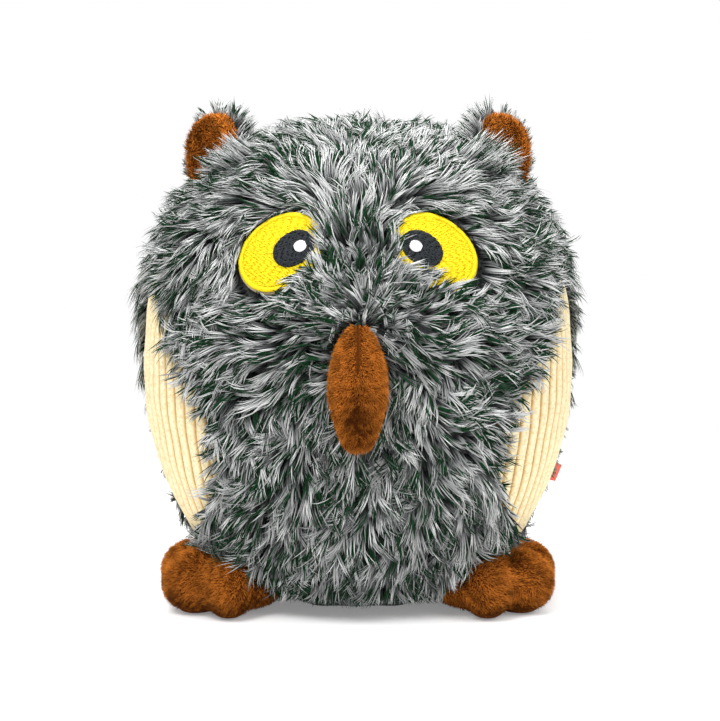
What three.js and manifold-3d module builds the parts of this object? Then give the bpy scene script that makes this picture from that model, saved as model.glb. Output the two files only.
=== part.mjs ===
// A ball-shaped plush owl: fur and corduroy gores over a stuffed core with a squeaker,
// embroidered eyes, a hanging beak, cupped ears and three-toed feet.
// Millimetres, +Z up, the face towards -Y. The origin is the middle of the base that it sits on.
// "Left" and "right" are the owl's own, so left is +X.
import * as THREE from "three";
import { mergeVertices } from "three/addons/utils/BufferGeometryUtils.js";
import Module from "manifold-3d";

const wasm = await Module();
wasm.setup();

// Body fabric, measured on the outside of the corduroy
const bodyWidth = 130;
const bodyDepth = 120;
const widestHeight = 74;
const crownRise = 69.5; // from the widest height up to the crown
const floorFlat = 4; // how deep the floor flattens the rounding of the belly
const bellyDrop = widestHeight + floorFlat;
const crownSquareness = 2.4; // exponents of the rounded-square profiles: 2 is an ellipse
const bellySquareness = 2.15;
const planSquareness = 2.2;
const crownLevel = (share) => widestHeight + crownRise * share; // heights of what sits above the widest

// Fabrics and clearances
const backingThickness = 1.5; // woven backing, inside the body surface
const pileHeight = 6; // standing long pile, outside the body surface
const waleHeight = 0.6; // corduroy ribs, outside the body surface
const seamGap = 0.3;
const coreClearance = 0.7; // between the stuffing and the inside of the panels
const baseThickness = 2;
const crownGather = 1.2; // radius of the point where the panels' seams meet on top
const cutOverrun = 20; // how far a cutting shape runs past what it cuts

// Corduroy gores, one on each side: lens shapes between a front and a back seam
const goreBottom = widestHeight * 0.22;
const goreTop = crownLevel(0.52);
const sideSeamAngle = 78; // degrees round from the face, where fur meets fur above and below a gore
const goreFrontAngle = 40; // degrees from the side seam to the gore's widest front point
const goreBackAngle = 22;
const goreLeanShare = 0.86; // under 1 puts the widest level below the middle
const goreTipAngle = 1.5; // degrees from the side seam to the edges of the gore's blunt tips

// Squeaker inside the stuffing
const squeakerDiameter = 34;
const squeakerHeight = 26;
const squeakerDrop = 8; // of its middle, below the widest height
const squeakerCentreHeight = widestHeight - squeakerDrop;
const squeakerClearance = 0.4;
const reedDiameter = 9;
const reedLength = 5;
const reedFlangeDiameter = 12;
const reedFlangeThickness = 1.4;
const stuffingHoleDiameter = 14; // the way that the stuffing is pushed in, from the base

// Eyes: embroidered felt patches
const eyeLength = 27.2;
const eyeWidth = 21.6;
const eyeSideAngle = 21; // degrees round from the face's middle
const eyeHeight = crownLevel(0.6);
const eyeTiltAngle = 42; // degrees that the long axis leans
const eyeDomeRadius = 66;
const eyeSeat = 1.7; // height of the flattened pile under the patch
const eyeBorder = 1.2; // clearance of the fur round the patch
const feltThickness = 1.2;
const feltMargin = 0.6; // felt that shows round the embroidery
const rimWidth = 1.6;
const rimThickness = 1.1;
const fillThickness = 0.8;
const pupilLength = 13.2;
const pupilWidth = 10.2;
const pupilInset = 4.2; // from the patch's middle towards the beak
const pupilLift = 1;
const pupilThickness = 0.5;
const highlightDiameter = 3.9;
const highlightInset = 2.0; // from the pupil's middle towards the beak
const highlightLift = 0.8;
const highlightThickness = 0.4;

// Beak: a stuffed seed shape that hangs from its top seam
const beakLength = 40;
const beakWidth = 18.4;
const beakDepth = 13.5;
const beakRootHeight = crownLevel(0.35);
const beakRootStand = 3.4; // from the body surface out to the middle of the beak's root
const beakLeanAngle = 20; // degrees that the beak hangs forward of upright
const beakTipWidth = 8.5;
const beakTipDepth = 6;
const beakTaper = 1.35; // power of the fall in size from its widest place to its tip
const beakTipShare = 0.9; // of its length, where the tip's rounding begins
const beakTipLeft = 0.35; // of the tip's size, left at its flat end
const beakFabric = 1.3;
const beakWidestShare = 0.55; // of its length, from the root
const beakClearance = 0.9; // of the fur round the beak
const beakSeat = 0.4; // height of the fur backing under the beak's root
const beakLiftAngle = 30; // degrees that it folds up

// Ears: a fur back and a short-pile lining, cupped together and sewn to the side seam
const earHeight = 24;
const earCupRadius = 6;
const earLiningThickness = 1.5;
const earBackThickness = 3.4;
const earWrapAngle = 86; // degrees that the cup wraps to each side at its base
const earRoundness = 2.3;
const earSideAngle = 84; // degrees round from the face
const earBaseHeight = crownLevel(0.81);
const earFacingAngle = 28; // degrees that the cup's mouth turns outwards from the front
const earLeanAngle = 10; // degrees that the ear leans outwards
const earSwingAngle = 12; // degrees that it folds forward or back
const earSeat = 0.6; // fur backing under the ear's root
const earPit = 1.2; // clearance of the fur round the ear

// Feet: three stuffed toes round an instep, over a flat sole
const footHeight = 21;
const toeLength = 25;
const toeWidth = 18.5;
const footCentreSide = 39.5;
const footCentreForward = 20;
const toeReach = 11; // from the foot's middle to the middle of each toe
const toeSplayAngle = 58; // degrees between toes
const footTurnAngle = 58; // degrees that the middle toe turns outwards from the front
const instepLength = 40;
const instepWidth = 40;
const instepHeight = 20;
const footFabric = 1.5;
const soleThickness = 2;
const footFlat = 0.5; // how deep the sole's flat is cut into the toes' rounding
const footLiftAngle = 22; // degrees that a foot folds up
const footSeat = 0.6;
const footClearance = 0.8;

// Label folded into the back seam of the left gore, left bare
const labelHeight = widestHeight / 2;
const labelWidth = 5.5;
const labelLength = 5.5;
const labelThickness = 1.2; // of the folded ribbon
const labelLeanAngle = 35; // degrees that it leans back from standing straight out of the seam

// How finely the surfaces are divided
const wholeColumns = 36;
const frontColumns = 7;
const sideColumns = 6;
const backColumns = 7;
const rowsBelowGore = 3;
const rowsInGore = 9;
const rowsAboveGore = 5;
const discSegments = 20;
const limbSegments = 12;
const limbRings = 7;
const hiddenSegments = 8;
const hiddenRings = 6;
const earColumns = 6;
const earRows = 6;
const earTipShare = 0.03; // of the ear's height, left off where its outline closes

const degrees = THREE.MathUtils.degToRad;
const smallTurn = 1e-4; // radians between two points of the surface that give its direction

// Materials
function fabric(colour, roughness) {
  return new THREE.MeshStandardMaterial({ color: colour, roughness, metalness: 0 });
}
const fur = () => fabric("#8c9296", 0.95);
const corduroy = () => fabric("#f0dfb8", 0.92);
const brownPlush = () => fabric("#8f4a12", 0.95);
const yellowThread = () => fabric("#f6e01c", 0.6);
const blackThread = () => fabric("#22242a", 0.6);
const whiteThread = () => fabric("#f4f4f2", 0.6);
const paleFelt = () => fabric("#efe3c4", 0.95);
const fibre = () => fabric("#f7f7f5", 1);
const coralRibbon = () => fabric("#ef5a48", 0.7);
const softPlastic = () => fabric("#e9edf0", 0.45);

// Solids: closed geometries in and out of manifold-3d
function toSolid(geometry) {
  const bare = geometry.clone();
  bare.deleteAttribute("normal");
  bare.deleteAttribute("uv");
  const merged = mergeVertices(bare);
  return new wasm.Manifold(
    new wasm.Mesh({
      numProp: 3,
      vertProperties: new Float32Array(merged.attributes.position.array),
      triVerts: new Uint32Array(merged.index.array),
    }),
  );
}

function toGeometry(solid) {
  const mesh = solid.getMesh();
  return indexed(mesh.vertProperties, [...mesh.triVerts]);
}

function cut(geometry, ...cutters) {
  let solid = toSolid(geometry);
  for (const cutter of cutters) solid = solid.subtract(toSolid(cutter));
  return toGeometry(solid);
}

function join(...geometries) {
  let solid = toSolid(geometries[0]);
  for (const other of geometries.slice(1)) solid = solid.add(toSolid(other));
  return toGeometry(solid);
}

function common(geometry, other) {
  return toGeometry(toSolid(geometry).intersect(toSolid(other)));
}

function moved(geometry, matrix) {
  return geometry.clone().applyMatrix4(matrix);
}

// The owl is the same on both sides: the right piece is the left one turned over in X
function mirrored(geometry) {
  const copy = geometry.clone();
  const corners = copy.attributes.position;
  for (let i = 0; i < corners.count; i++) corners.setX(i, -corners.getX(i));
  const index = copy.index.array;
  for (let i = 0; i < index.length; i += 3) {
    [index[i + 1], index[i + 2]] = [index[i + 2], index[i + 1]];
  }
  copy.computeVertexNormals();
  return copy;
}

// A closed solid of two grids of points, layer 0 inside and layer 1 outside, joined at the edges
function gridSolid(columns, rows, pointAt) {
  const corners = [];
  const faces = [];
  const at = (i, j, layer) => (layer * (rows + 1) + j) * (columns + 1) + i;
  for (let layer = 0; layer < 2; layer++) {
    for (let j = 0; j <= rows; j++) {
      for (let i = 0; i <= columns; i++) corners.push(...pointAt(i, j, layer));
    }
  }
  const quad = (a, b, c, d) => faces.push(a, b, c, a, c, d);
  for (let j = 0; j < rows; j++) {
    for (let i = 0; i < columns; i++) {
      quad(at(i, j, 1), at(i + 1, j, 1), at(i + 1, j + 1, 1), at(i, j + 1, 1));
      quad(at(i, j, 0), at(i, j + 1, 0), at(i + 1, j + 1, 0), at(i + 1, j, 0));
    }
    quad(at(0, j, 0), at(0, j, 1), at(0, j + 1, 1), at(0, j + 1, 0));
    quad(at(columns, j, 0), at(columns, j + 1, 0), at(columns, j + 1, 1), at(columns, j, 1));
  }
  for (let i = 0; i < columns; i++) {
    quad(at(i, 0, 0), at(i + 1, 0, 0), at(i + 1, 0, 1), at(i, 0, 1));
    quad(at(i, rows, 0), at(i, rows, 1), at(i + 1, rows, 1), at(i + 1, rows, 0));
  }
  return indexed(corners, faces);
}

function indexed(corners, faces) {
  const geometry = new THREE.BufferGeometry();
  geometry.setAttribute("position", new THREE.Float32BufferAttribute(corners, 3));
  geometry.setIndex(faces);
  geometry.computeVertexNormals();
  return geometry;
}

// Closed solid of stacked rings that starts and ends on a point, the rings turning
// anticlockwise when seen from the end
function ringSolid(rings, start, end) {
  const count = rings[0].length;
  const corners = [start, ...rings.flat(), end].flat();
  const faces = [];
  const at = (ring, i) => 1 + ring * count + (i % count);
  const last = 1 + rings.length * count;
  for (let i = 0; i < count; i++) {
    faces.push(0, at(0, i + 1), at(0, i));
    faces.push(last, at(rings.length - 1, i), at(rings.length - 1, i + 1));
    for (let ring = 0; ring + 1 < rings.length; ring++) {
      faces.push(at(ring, i), at(ring, i + 1), at(ring + 1, i + 1));
      faces.push(at(ring, i), at(ring + 1, i + 1), at(ring + 1, i));
    }
  }
  return indexed(corners, faces);
}

// The body's surface: rounded-square profiles, moved out or in by an offset
const signedPower = (value, exponent) => Math.sign(value) * Math.abs(value) ** exponent;

function bodyPoint(angle, latitude, offset) {
  const squareness = latitude > 0 ? crownSquareness : bellySquareness;
  const rise = latitude > 0 ? crownRise : bellyDrop;
  const spread = Math.abs(Math.cos(latitude)) ** (2 / squareness);
  return [
    (bodyWidth / 2 + offset) * spread * signedPower(Math.sin(angle), 2 / planSquareness),
    -(bodyDepth / 2 + offset) * spread * signedPower(Math.cos(angle), 2 / planSquareness),
    widestHeight + (rise + offset) * signedPower(Math.sin(latitude), 2 / squareness),
  ];
}

// The latitude at which the body's surface, moved out by an offset, passes a height
function latitudeAt(height, offset) {
  const above = height > widestHeight;
  const reach = (above ? crownRise : bellyDrop) + offset;
  const share = Math.min(Math.abs(height - widestHeight) / reach, 1);
  const latitude = Math.asin(share ** ((above ? crownSquareness : bellySquareness) / 2));
  return above ? latitude : -latitude;
}

// The height of the body's underside over a point of the floor
function undersideHeight(side, forward) {
  const across = (side / (bodyWidth / 2)) ** planSquareness;
  const along = (forward / (bodyDepth / 2)) ** planSquareness;
  const spread = (across + along) ** (1 / planSquareness);
  return widestHeight - bellyDrop * (1 - spread ** bellySquareness) ** (1 / bellySquareness);
}

const crownLatitude = Math.acos((crownGather / (bodyWidth / 2)) ** (crownSquareness / 2));

function spaced(start, end, count) {
  return Array.from({ length: count }, (unused, i) => start + ((end - start) * i) / count);
}

// Rows of the panels: the same levels on every panel, so that their seams follow each other
const rowLatitudes = [
  ...spaced(latitudeAt(0, 0), latitudeAt(goreBottom, 0), rowsBelowGore),
  ...spaced(latitudeAt(goreBottom, 0), latitudeAt(goreTop, 0), rowsInGore),
  ...spaced(latitudeAt(goreTop, 0), crownLatitude, rowsAboveGore),
  crownLatitude,
];

// The lowest rows shift so that each layer's first row lies on the floor
function rowLatitude(row, offset) {
  const shift = latitudeAt(0, offset) - latitudeAt(0, 0);
  return rowLatitudes[row] + shift * Math.max(0, 1 - row / rowsBelowGore);
}

// Where the two seams of a side run at a height: one line, but for the gore that parts them
function seamsAt(height) {
  const inGore = height > goreBottom - seamGap && height < goreTop + seamGap;
  const share = THREE.MathUtils.clamp((height - goreBottom) / (goreTop - goreBottom), 0, 1);
  const width = Math.sin(Math.PI * share ** goreLeanShare);
  const tip = inGore ? goreTipAngle : 0;
  return {
    front: degrees(sideSeamAngle - tip - goreFrontAngle * width),
    back: degrees(sideSeamAngle + tip + goreBackAngle * width),
  };
}

const rowSeams = rowLatitudes.map((latitude) => seamsAt(bodyPoint(0, latitude, 0)[2]));

// Half a seam's gap as an angle. At the middle of the face and the back the angle is found from the
// surface's own formula, because there the surface doesn't move at a steady rate with the angle.
function seamHalf(angle, latitude) {
  const [side] = bodyPoint(Math.PI / 2, latitude, 0);
  const share = seamGap / 2 / side;
  if (Math.sin(angle) < share) return Math.asin(share ** (planSquareness / 2));
  const here = new THREE.Vector3(...bodyPoint(angle, latitude, 0));
  const next = new THREE.Vector3(...bodyPoint(angle + smallTurn, latitude, 0));
  return ((seamGap / 2) * smallTurn) / here.distanceTo(next);
}

function goreSolid(edges, columns, firstRow, lastRow, outside) {
  return gridSolid(columns, lastRow - firstRow, (i, j, layer) => {
    const row = firstRow + j;
    const offset = layer ? outside : -backingThickness;
    const latitude = rowLatitude(row, offset);
    const [start, end] = edges(rowSeams[row]);
    const first = start + seamHalf(start, latitude);
    const last = end - seamHalf(end, latitude);
    return bodyPoint(THREE.MathUtils.lerp(first, last, i / columns), latitude, offset);
  });
}

const lastRow = rowLatitudes.length - 1;
const frontGore = goreSolid((seams) => [0, seams.front], frontColumns, 0, lastRow, pileHeight);
const backGore = goreSolid((seams) => [seams.back, Math.PI], backColumns, 0, lastRow, pileHeight);
const sideGore = goreSolid(
  (seams) => [seams.front, seams.back],
  sideColumns,
  rowsBelowGore,
  rowsBelowGore + rowsInGore,
  waleHeight,
);

// The whole body as one solid, cut level at a height, for the stuffing and for the cuts round limbs
function wholeBody(offset, floor) {
  const rows = rowLatitudes.slice(1, -1).filter((latitude) => latitude > latitudeAt(floor, offset));
  const levels = [latitudeAt(floor, offset), ...rows];
  const rings = levels.map((latitude) =>
    Array.from({ length: wholeColumns }, (unused, i) =>
      bodyPoint((i / wholeColumns) * 2 * Math.PI, latitude, offset),
    ),
  );
  return ringSolid(rings, [0, 0, floor], [0, 0, widestHeight + crownRise + offset]);
}

// Base: a round patch that closes the hole where the panels meet underneath
function basePanel() {
  const inside = -backingThickness - seamGap;
  const outline = (height) =>
    Array.from({ length: discSegments }, (unused, i) => {
      const [x, y] = bodyPoint((i / discSegments) * 2 * Math.PI, latitudeAt(0, inside), inside);
      return [x, y, height];
    });
  return ringSolid([outline(0), outline(baseThickness)], [0, 0, 0], [0, 0, baseThickness]);
}

function ellipsoid(length, width, height, segments, rings) {
  return new THREE.SphereGeometry(1, segments, rings)
    .rotateX(Math.PI / 2)
    .scale(width / 2, length / 2, height / 2);
}

function upright(radius, height, segments) {
  return new THREE.CylinderGeometry(radius, radius, height, segments).rotateX(Math.PI / 2);
}

// Stuffing, with a pocket for the squeaker and the hole that it was filled through
function stuffing() {
  const floor = baseThickness + seamGap;
  const body = wholeBody(-backingThickness - coreClearance, floor);
  const pocket = ellipsoid(
    squeakerDiameter + 2 * squeakerClearance,
    squeakerDiameter + 2 * squeakerClearance,
    squeakerHeight + 2 * squeakerClearance,
    discSegments,
    limbRings,
  ).translate(0, 0, squeakerCentreHeight);
  const depth = squeakerCentreHeight - floor;
  const hole = upright(stuffingHoleDiameter / 2, depth + cutOverrun, discSegments).translate(
    0,
    0,
    floor + (depth - cutOverrun) / 2,
  );
  return cut(body, pocket, hole);
}

// Squeaker: its own frame has the bottom of the bulb at the origin, where the reed is pushed in
const squeakerFrame = new THREE.Matrix4().makeTranslation(0, 0, squeakerCentreHeight - squeakerHeight / 2);

function squeakerBulb() {
  const bulb = ellipsoid(squeakerDiameter, squeakerDiameter, squeakerHeight, discSegments, limbRings);
  const bore = (diameter, depth) =>
    upright(diameter / 2 + squeakerClearance, depth + cutOverrun, limbSegments)
      .translate(0, 0, (depth - cutOverrun) / 2);
  return cut(
    bulb.translate(0, 0, squeakerHeight / 2),
    bore(reedDiameter, reedLength + squeakerClearance),
    bore(reedFlangeDiameter, reedFlangeThickness + squeakerClearance),
  );
}

function squeakerReed() {
  const flange = upright(reedFlangeDiameter / 2, reedFlangeThickness, limbSegments);
  flange.translate(0, 0, reedFlangeThickness / 2);
  const barrel = upright(reedDiameter / 2, reedLength, limbSegments).translate(0, 0, reedLength / 2);
  return join(flange, barrel);
}

// A frame on the body's surface: X runs sideways, Y up along the surface and Z out of it
function surfaceFrame(angle, height, offset) {
  const latitude = latitudeAt(height, 0);
  const corner = (a, l) => new THREE.Vector3(...bodyPoint(a, l, 0));
  const origin = corner(angle, latitude);
  const sideways = corner(angle + smallTurn, latitude).sub(origin).normalize();
  const upwards = corner(angle, latitude + smallTurn).sub(origin).normalize();
  const outwards = sideways.clone().cross(upwards).normalize();
  const up = outwards.clone().cross(sideways);
  origin.addScaledVector(outwards, offset);
  return new THREE.Matrix4().makeBasis(sideways, up, outwards).setPosition(origin);
}

// Eyes: thin domed layers, stacked on the surface frame of the eye
const eyeFrame = surfaceFrame(degrees(eyeSideAngle), eyeHeight, eyeSeat);

function onDome(u, v, rise) {
  return [u, v, rise - (u * u + v * v) / (2 * eyeDomeRadius)];
}

function eyeOutline(length, width, centreU, centreV) {
  const tilt = degrees(-eyeTiltAngle);
  return (turn, reach) => {
    const along = (Math.cos(turn) * length * reach) / 2;
    const across = (Math.sin(turn) * width * reach) / 2;
    return [
      centreU + along * Math.cos(tilt) - across * Math.sin(tilt),
      centreV + along * Math.sin(tilt) + across * Math.cos(tilt),
    ];
  };
}

function domeDisc(outline, low, high, reaches = [1 / 2, 1]) {
  const ring = (reach, rise) =>
    Array.from({ length: discSegments }, (unused, i) => {
      const [u, v] = outline((i / discSegments) * 2 * Math.PI, reach);
      return onDome(u, v, rise);
    });
  const under = reaches.map((reach) => ring(reach, low));
  const over = reaches.map((reach) => ring(reach, high)).reverse();
  const middle = outline(0, 0);
  return ringSolid([...under, ...over], onDome(...middle, low), onDome(...middle, high));
}

// An endless band between two outlines, closed on itself
function domeBand(outer, inner, low, high) {
  const corners = [];
  const faces = [];
  for (let i = 0; i < discSegments; i++) {
    const turn = (i / discSegments) * 2 * Math.PI;
    corners.push(...onDome(...inner(turn, 1), low));
    corners.push(...onDome(...outer(turn, 1), low));
    corners.push(...onDome(...outer(turn, 1), high));
    corners.push(...onDome(...inner(turn, 1), high));
  }
  for (let i = 0; i < discSegments; i++) {
    const next = (i + 1) % discSegments;
    for (let k = 0; k < 4; k++) {
      const a = i * 4 + k;
      const b = i * 4 + ((k + 1) % 4);
      const c = next * 4 + ((k + 1) % 4);
      const d = next * 4 + k;
      faces.push(a, c, b, a, d, c);
    }
  }
  return indexed(corners, faces);
}

function eyeLayers() {
  const feltTop = feltThickness;
  const threadBottom = feltTop + seamGap;
  const fillTop = threadBottom + fillThickness;
  const pupilBottom = fillTop + seamGap;
  const pupilTop = pupilBottom + pupilThickness;
  const highlightBottom = pupilTop + seamGap;
  const rimInside = 2 * rimWidth;
  const fillInside = rimInside + 2 * seamGap;
  const felt = eyeOutline(eyeLength + 2 * feltMargin, eyeWidth + 2 * feltMargin, 0, 0);
  const rimOuter = eyeOutline(eyeLength, eyeWidth, 0, 0);
  const rimInner = eyeOutline(eyeLength - rimInside, eyeWidth - rimInside, 0, 0);
  const fill = eyeOutline(eyeLength - fillInside, eyeWidth - fillInside, 0, 0);
  const pupil = eyeOutline(pupilLength, pupilWidth, -pupilInset, pupilLift);
  const highlightU = -pupilInset - highlightInset;
  const highlightV = pupilLift + highlightLift;
  const highlight = eyeOutline(highlightDiameter, highlightDiameter, highlightU, highlightV);
  return {
    eye_felt: [domeDisc(felt, 0, feltTop), paleFelt()],
    eye_rim: [domeBand(rimOuter, rimInner, threadBottom, threadBottom + rimThickness), yellowThread()],
    eye_iris: [domeDisc(fill, threadBottom, fillTop), yellowThread()],
    eye_pupil: [domeDisc(pupil, pupilBottom, pupilTop, [1]), blackThread()],
    eye_highlight: [
      domeDisc(highlight, highlightBottom, highlightBottom + highlightThickness, [1]),
      whiteThread(),
    ],
  };
}

// The hole in the pile that an eye patch is sewn into
function eyeCutter() {
  const grow = 2 * (feltMargin + eyeBorder);
  const outline = eyeOutline(eyeLength + grow, eyeWidth + grow, 0, 0);
  return moved(domeDisc(outline, -seamGap, cutOverrun), eyeFrame);
}

// Beak: rings of an oval that swells from a narrow root and ends in a blunt tip.
// Its own frame has the root's seam at the origin and hangs down -Z.
const beakForward = -bodyPoint(0, latitudeAt(beakRootHeight, 0), 0)[1];
const beakFrame = new THREE.Matrix4()
  .makeRotationX(-degrees(beakLeanAngle))
  .setPosition(0, -beakForward - beakRootStand, beakRootHeight);

function beakSize(share, widest, tip) {
  if (share < beakWidestShare) {
    const left = 1 - share / beakWidestShare;
    return widest * Math.sqrt(1 - left * left);
  }
  const past = (share - beakWidestShare) / (1 - beakWidestShare);
  const rounding = Math.max(0, (share - beakTipShare) / (1 - beakTipShare));
  const rounded = beakTipLeft + (1 - beakTipLeft) * Math.sqrt(1 - rounding * rounding);
  return (widest - (widest - tip) * past ** beakTaper) * rounded;
}

function beakSolid(grow) {
  const shares = [1, 0.985, 0.95, 0.9, 0.82, 0.72, 0.6, 0.45, 0.3, 0.16, 0.07, 0.02];
  const rings = shares.map((share) => {
    const width = beakSize(share, beakWidth, beakTipWidth) / 2 + grow;
    const depth = beakSize(share, beakDepth, beakTipDepth) / 2 + grow;
    const height = -share * beakLength + grow * (1 - 2 * share);
    return Array.from({ length: limbSegments }, (unused, i) => {
      const turn = (i / limbSegments) * 2 * Math.PI;
      return [width * Math.cos(turn), depth * Math.sin(turn), height];
    });
  });
  return ringSolid(rings, [0, 0, -beakLength - grow], [0, 0, grow]);
}

function halfSpace(side, gap) {
  const reach = bodyWidth;
  return new THREE.BoxGeometry(reach, 2 * reach, 2 * reach).translate(side * (reach / 2 + gap), 0, 0);
}

function beakPieces() {
  const shell = cut(seated(beakSolid(0), beakFrame, beakSeat), beakSolid(-beakFabric));
  const filling = seated(beakSolid(-beakFabric - seamGap), beakFrame, beakSeat);
  return {
    beak_panel_left: [common(shell, halfSpace(1, seamGap / 2)), brownPlush()],
    beak_panel_right: [common(shell, halfSpace(-1, seamGap / 2)), brownPlush()],
    beak_filling: [filling, fibre()],
  };
}

// The space round the beak in the pile, at rest and folded up, down to the fur's backing
function beakCutter() {
  const grown = beakSolid(beakClearance);
  const pivot = new THREE.Vector3().setFromMatrixPosition(beakFrame);
  const lifted = turned(moved(grown, beakFrame), pivot, new THREE.Vector3(-1, 0, 0), beakLiftAngle);
  return cut(join(moved(grown, beakFrame), lifted), wholeBody(beakSeat, 0));
}

function turned(geometry, pivot, axis, angle) {
  const turn = new THREE.Matrix4().makeRotationAxis(axis, degrees(angle));
  const there = new THREE.Matrix4().makeTranslation(pivot);
  const back = new THREE.Matrix4().makeTranslation(pivot.clone().negate());
  return moved(geometry, there.multiply(turn).multiply(back));
}

// A limb's geometry, given in its own frame, trimmed where it meets the body
function seated(geometry, frame, seat, ...turnedBody) {
  const placed = moved(geometry, frame);
  const trimmed = cut(placed, wholeBody(seat + seamGap, 0), ...turnedBody);
  return moved(trimmed, frame.clone().invert());
}

// The body as a limb meets it when its joint is turned to an angle
function bodySeenAt(angle, seat, pivot, axis) {
  return turned(wholeBody(seat + seamGap, -cutOverrun), pivot, axis, -angle);
}

// Ears: a wall that wraps round the ear's own Z axis, open towards -Y, rounded off on top
const earPivot = new THREE.Vector3(...bodyPoint(degrees(earSideAngle), latitudeAt(earBaseHeight, 0), 0));
const earTurn = new THREE.Matrix4().makeRotationFromEuler(
  new THREE.Euler(0, degrees(earLeanAngle), degrees(earFacingAngle), "YZX"),
);
const earFrame = earTurn.clone().setPosition(earPivot);
const earAxis = new THREE.Vector3(1, 0, 0).applyMatrix4(earTurn);
const earOutside = earCupRadius + earLiningThickness + seamGap + earBackThickness;

function earWall(inside, outside, height) {
  const root = -earCupRadius;
  return gridSolid(earColumns, earRows, (i, j, layer) => {
    const share = 1 - (1 - j / earRows) ** 2;
    const rise = root + (height * (1 - earTipShare) - root) * share;
    const taper = Math.sqrt(1 - (Math.max(rise, 0) / height) ** earRoundness);
    const angle = degrees(90 + earWrapAngle * taper * ((2 * i) / earColumns - 1));
    const radius = layer ? outside : inside;
    return [radius * Math.cos(angle), radius * Math.sin(angle), rise];
  });
}

function earPieces() {
  const swings = [-earSwingAngle, earSwingAngle];
  const bodies = swings.map((angle) => bodySeenAt(angle, earSeat, earPivot, earAxis));
  const liningOutside = earCupRadius + earLiningThickness;
  const liningHeight = earHeight - earLiningThickness;
  const lining = earWall(earCupRadius, liningOutside, liningHeight);
  const back = earWall(liningOutside + seamGap, earOutside, earHeight);
  return {
    ear_lining: [seated(lining, earFrame, earSeat, ...bodies), brownPlush()],
    ear_back: [seated(back, earFrame, earSeat, ...bodies), fur()],
  };
}

// The space round an ear in the pile, at rest and folded both ways, down to the fur's backing
function earCutter() {
  const space = moved(upright(earOutside + earPit, 2 * earHeight, limbSegments), earFrame);
  const swung = [-earSwingAngle, earSwingAngle].map((angle) => turned(space, earPivot, earAxis, angle));
  return cut(join(space, ...swung), wholeBody(earSeat, 0));
}

// Feet: the foot's own frame has the middle toe along -Y and the floor at Z = 0
const footFrame = new THREE.Matrix4()
  .makeRotationZ(degrees(footTurnAngle))
  .setPosition(footCentreSide, -footCentreForward, 0);
const footAxis = new THREE.Vector3(-1, 0, 0).applyMatrix4(
  new THREE.Matrix4().makeRotationZ(degrees(footTurnAngle)),
);
const footPivot = new THREE.Vector3(
  footCentreSide,
  -footCentreForward,
  undersideHeight(footCentreSide, footCentreForward),
);

function footForm(grow, segments, rings) {
  const lobe = (length, width, height) =>
    ellipsoid(length + 2 * grow, width + 2 * grow, height + 2 * grow, segments, rings).translate(
      0,
      0,
      height / 2 - footFlat,
    );
  const toes = [-1, 0, 1].map((place) =>
    lobe(toeLength, toeWidth, footHeight)
      .translate(0, -toeReach, 0)
      .rotateZ(degrees(place * toeSplayAngle)),
  );
  return join(lobe(instepLength, instepWidth, instepHeight), ...toes);
}

const hiddenFootForm = (grow) => footForm(grow, hiddenSegments, hiddenRings);

function slab(low, high) {
  const reach = bodyWidth;
  return new THREE.BoxGeometry(reach, reach, high - low).translate(0, 0, (low + high) / 2);
}

function footPieces() {
  const shares = [1 / 2, 1];
  const bodies = shares.map((share) => bodySeenAt(share * footLiftAngle, footSeat, footPivot, footAxis));
  const outer = seated(footForm(0, limbSegments, limbRings), footFrame, footSeat, ...bodies);
  const inner = hiddenFootForm(-footFabric);
  const stuffed = slab(soleThickness + seamGap, footHeight);
  const filling = common(hiddenFootForm(-footFabric - seamGap), stuffed);
  return {
    foot_upper: [
      cut(common(outer, slab(soleThickness + seamGap, 2 * footHeight)), inner),
      brownPlush(),
    ],
    foot_sole: [common(outer, slab(0, soleThickness)), brownPlush()],
    foot_filling: [seated(filling, footFrame, footSeat, ...bodies), fibre()],
  };
}

// The space round a foot in the pile, from rest to folded up
function footCutter() {
  const rest = moved(footForm(footClearance, limbSegments, limbRings), footFrame);
  const lifted = [1 / 2, 1].map((share) => turned(rest, footPivot, footAxis, share * footLiftAngle));
  return cut(join(rest, ...lifted), wholeBody(footSeat, 0));
}

// Label: a folded ribbon that stands in the back seam of the left gore
const labelFrame = surfaceFrame(seamsAt(labelHeight).back, labelHeight, waleHeight + seamGap).multiply(
  new THREE.Matrix4().makeRotationY(degrees(labelLeanAngle)),
);

function labelForm(grow) {
  const foldRadius = labelThickness / 2 + grow;
  const outline = new THREE.Shape();
  const length = labelLength - labelThickness / 2;
  const root = labelThickness * Math.tan(degrees(labelLeanAngle)) - grow;
  outline.moveTo(-foldRadius, root);
  outline.lineTo(foldRadius, root);
  outline.lineTo(foldRadius, length);
  outline.absarc(0, length, foldRadius, 0, Math.PI, false);
  const width = labelWidth + 2 * grow;
  return new THREE.ExtrudeGeometry(outline, {
    depth: width,
    bevelEnabled: false,
    curveSegments: 6,
  })
    .translate(0, 0, -width / 2)
    .rotateX(Math.PI / 2);
}

// Assembly
const owl = new THREE.Group();

function addMesh(group, name, geometry, material) {
  const mesh = new THREE.Mesh(geometry, material);
  mesh.name = name;
  group.add(mesh);
}

function addPieces(pieces, frame) {
  const group = new THREE.Group();
  frame.decompose(group.position, group.quaternion, group.scale);
  for (const [name, [geometry, material]] of Object.entries(pieces)) {
    addMesh(group, name, geometry, material);
  }
  owl.add(group);
}

// A pair of pieces: the left one as it is made, and the right one turned over
function addPair(pieces, frame) {
  const flip = new THREE.Matrix4().makeScale(-1, 1, 1);
  const turnedOver = frame.clone().premultiply(flip).multiply(flip);
  const left = {};
  const right = {};
  for (const [name, [geometry, material]] of Object.entries(pieces)) {
    left[name + "_left"] = [geometry, material];
    right[name + "_right"] = [mirrored(geometry), material];
  }
  addPieces(left, frame);
  addPieces(right, turnedOver);
}

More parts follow.
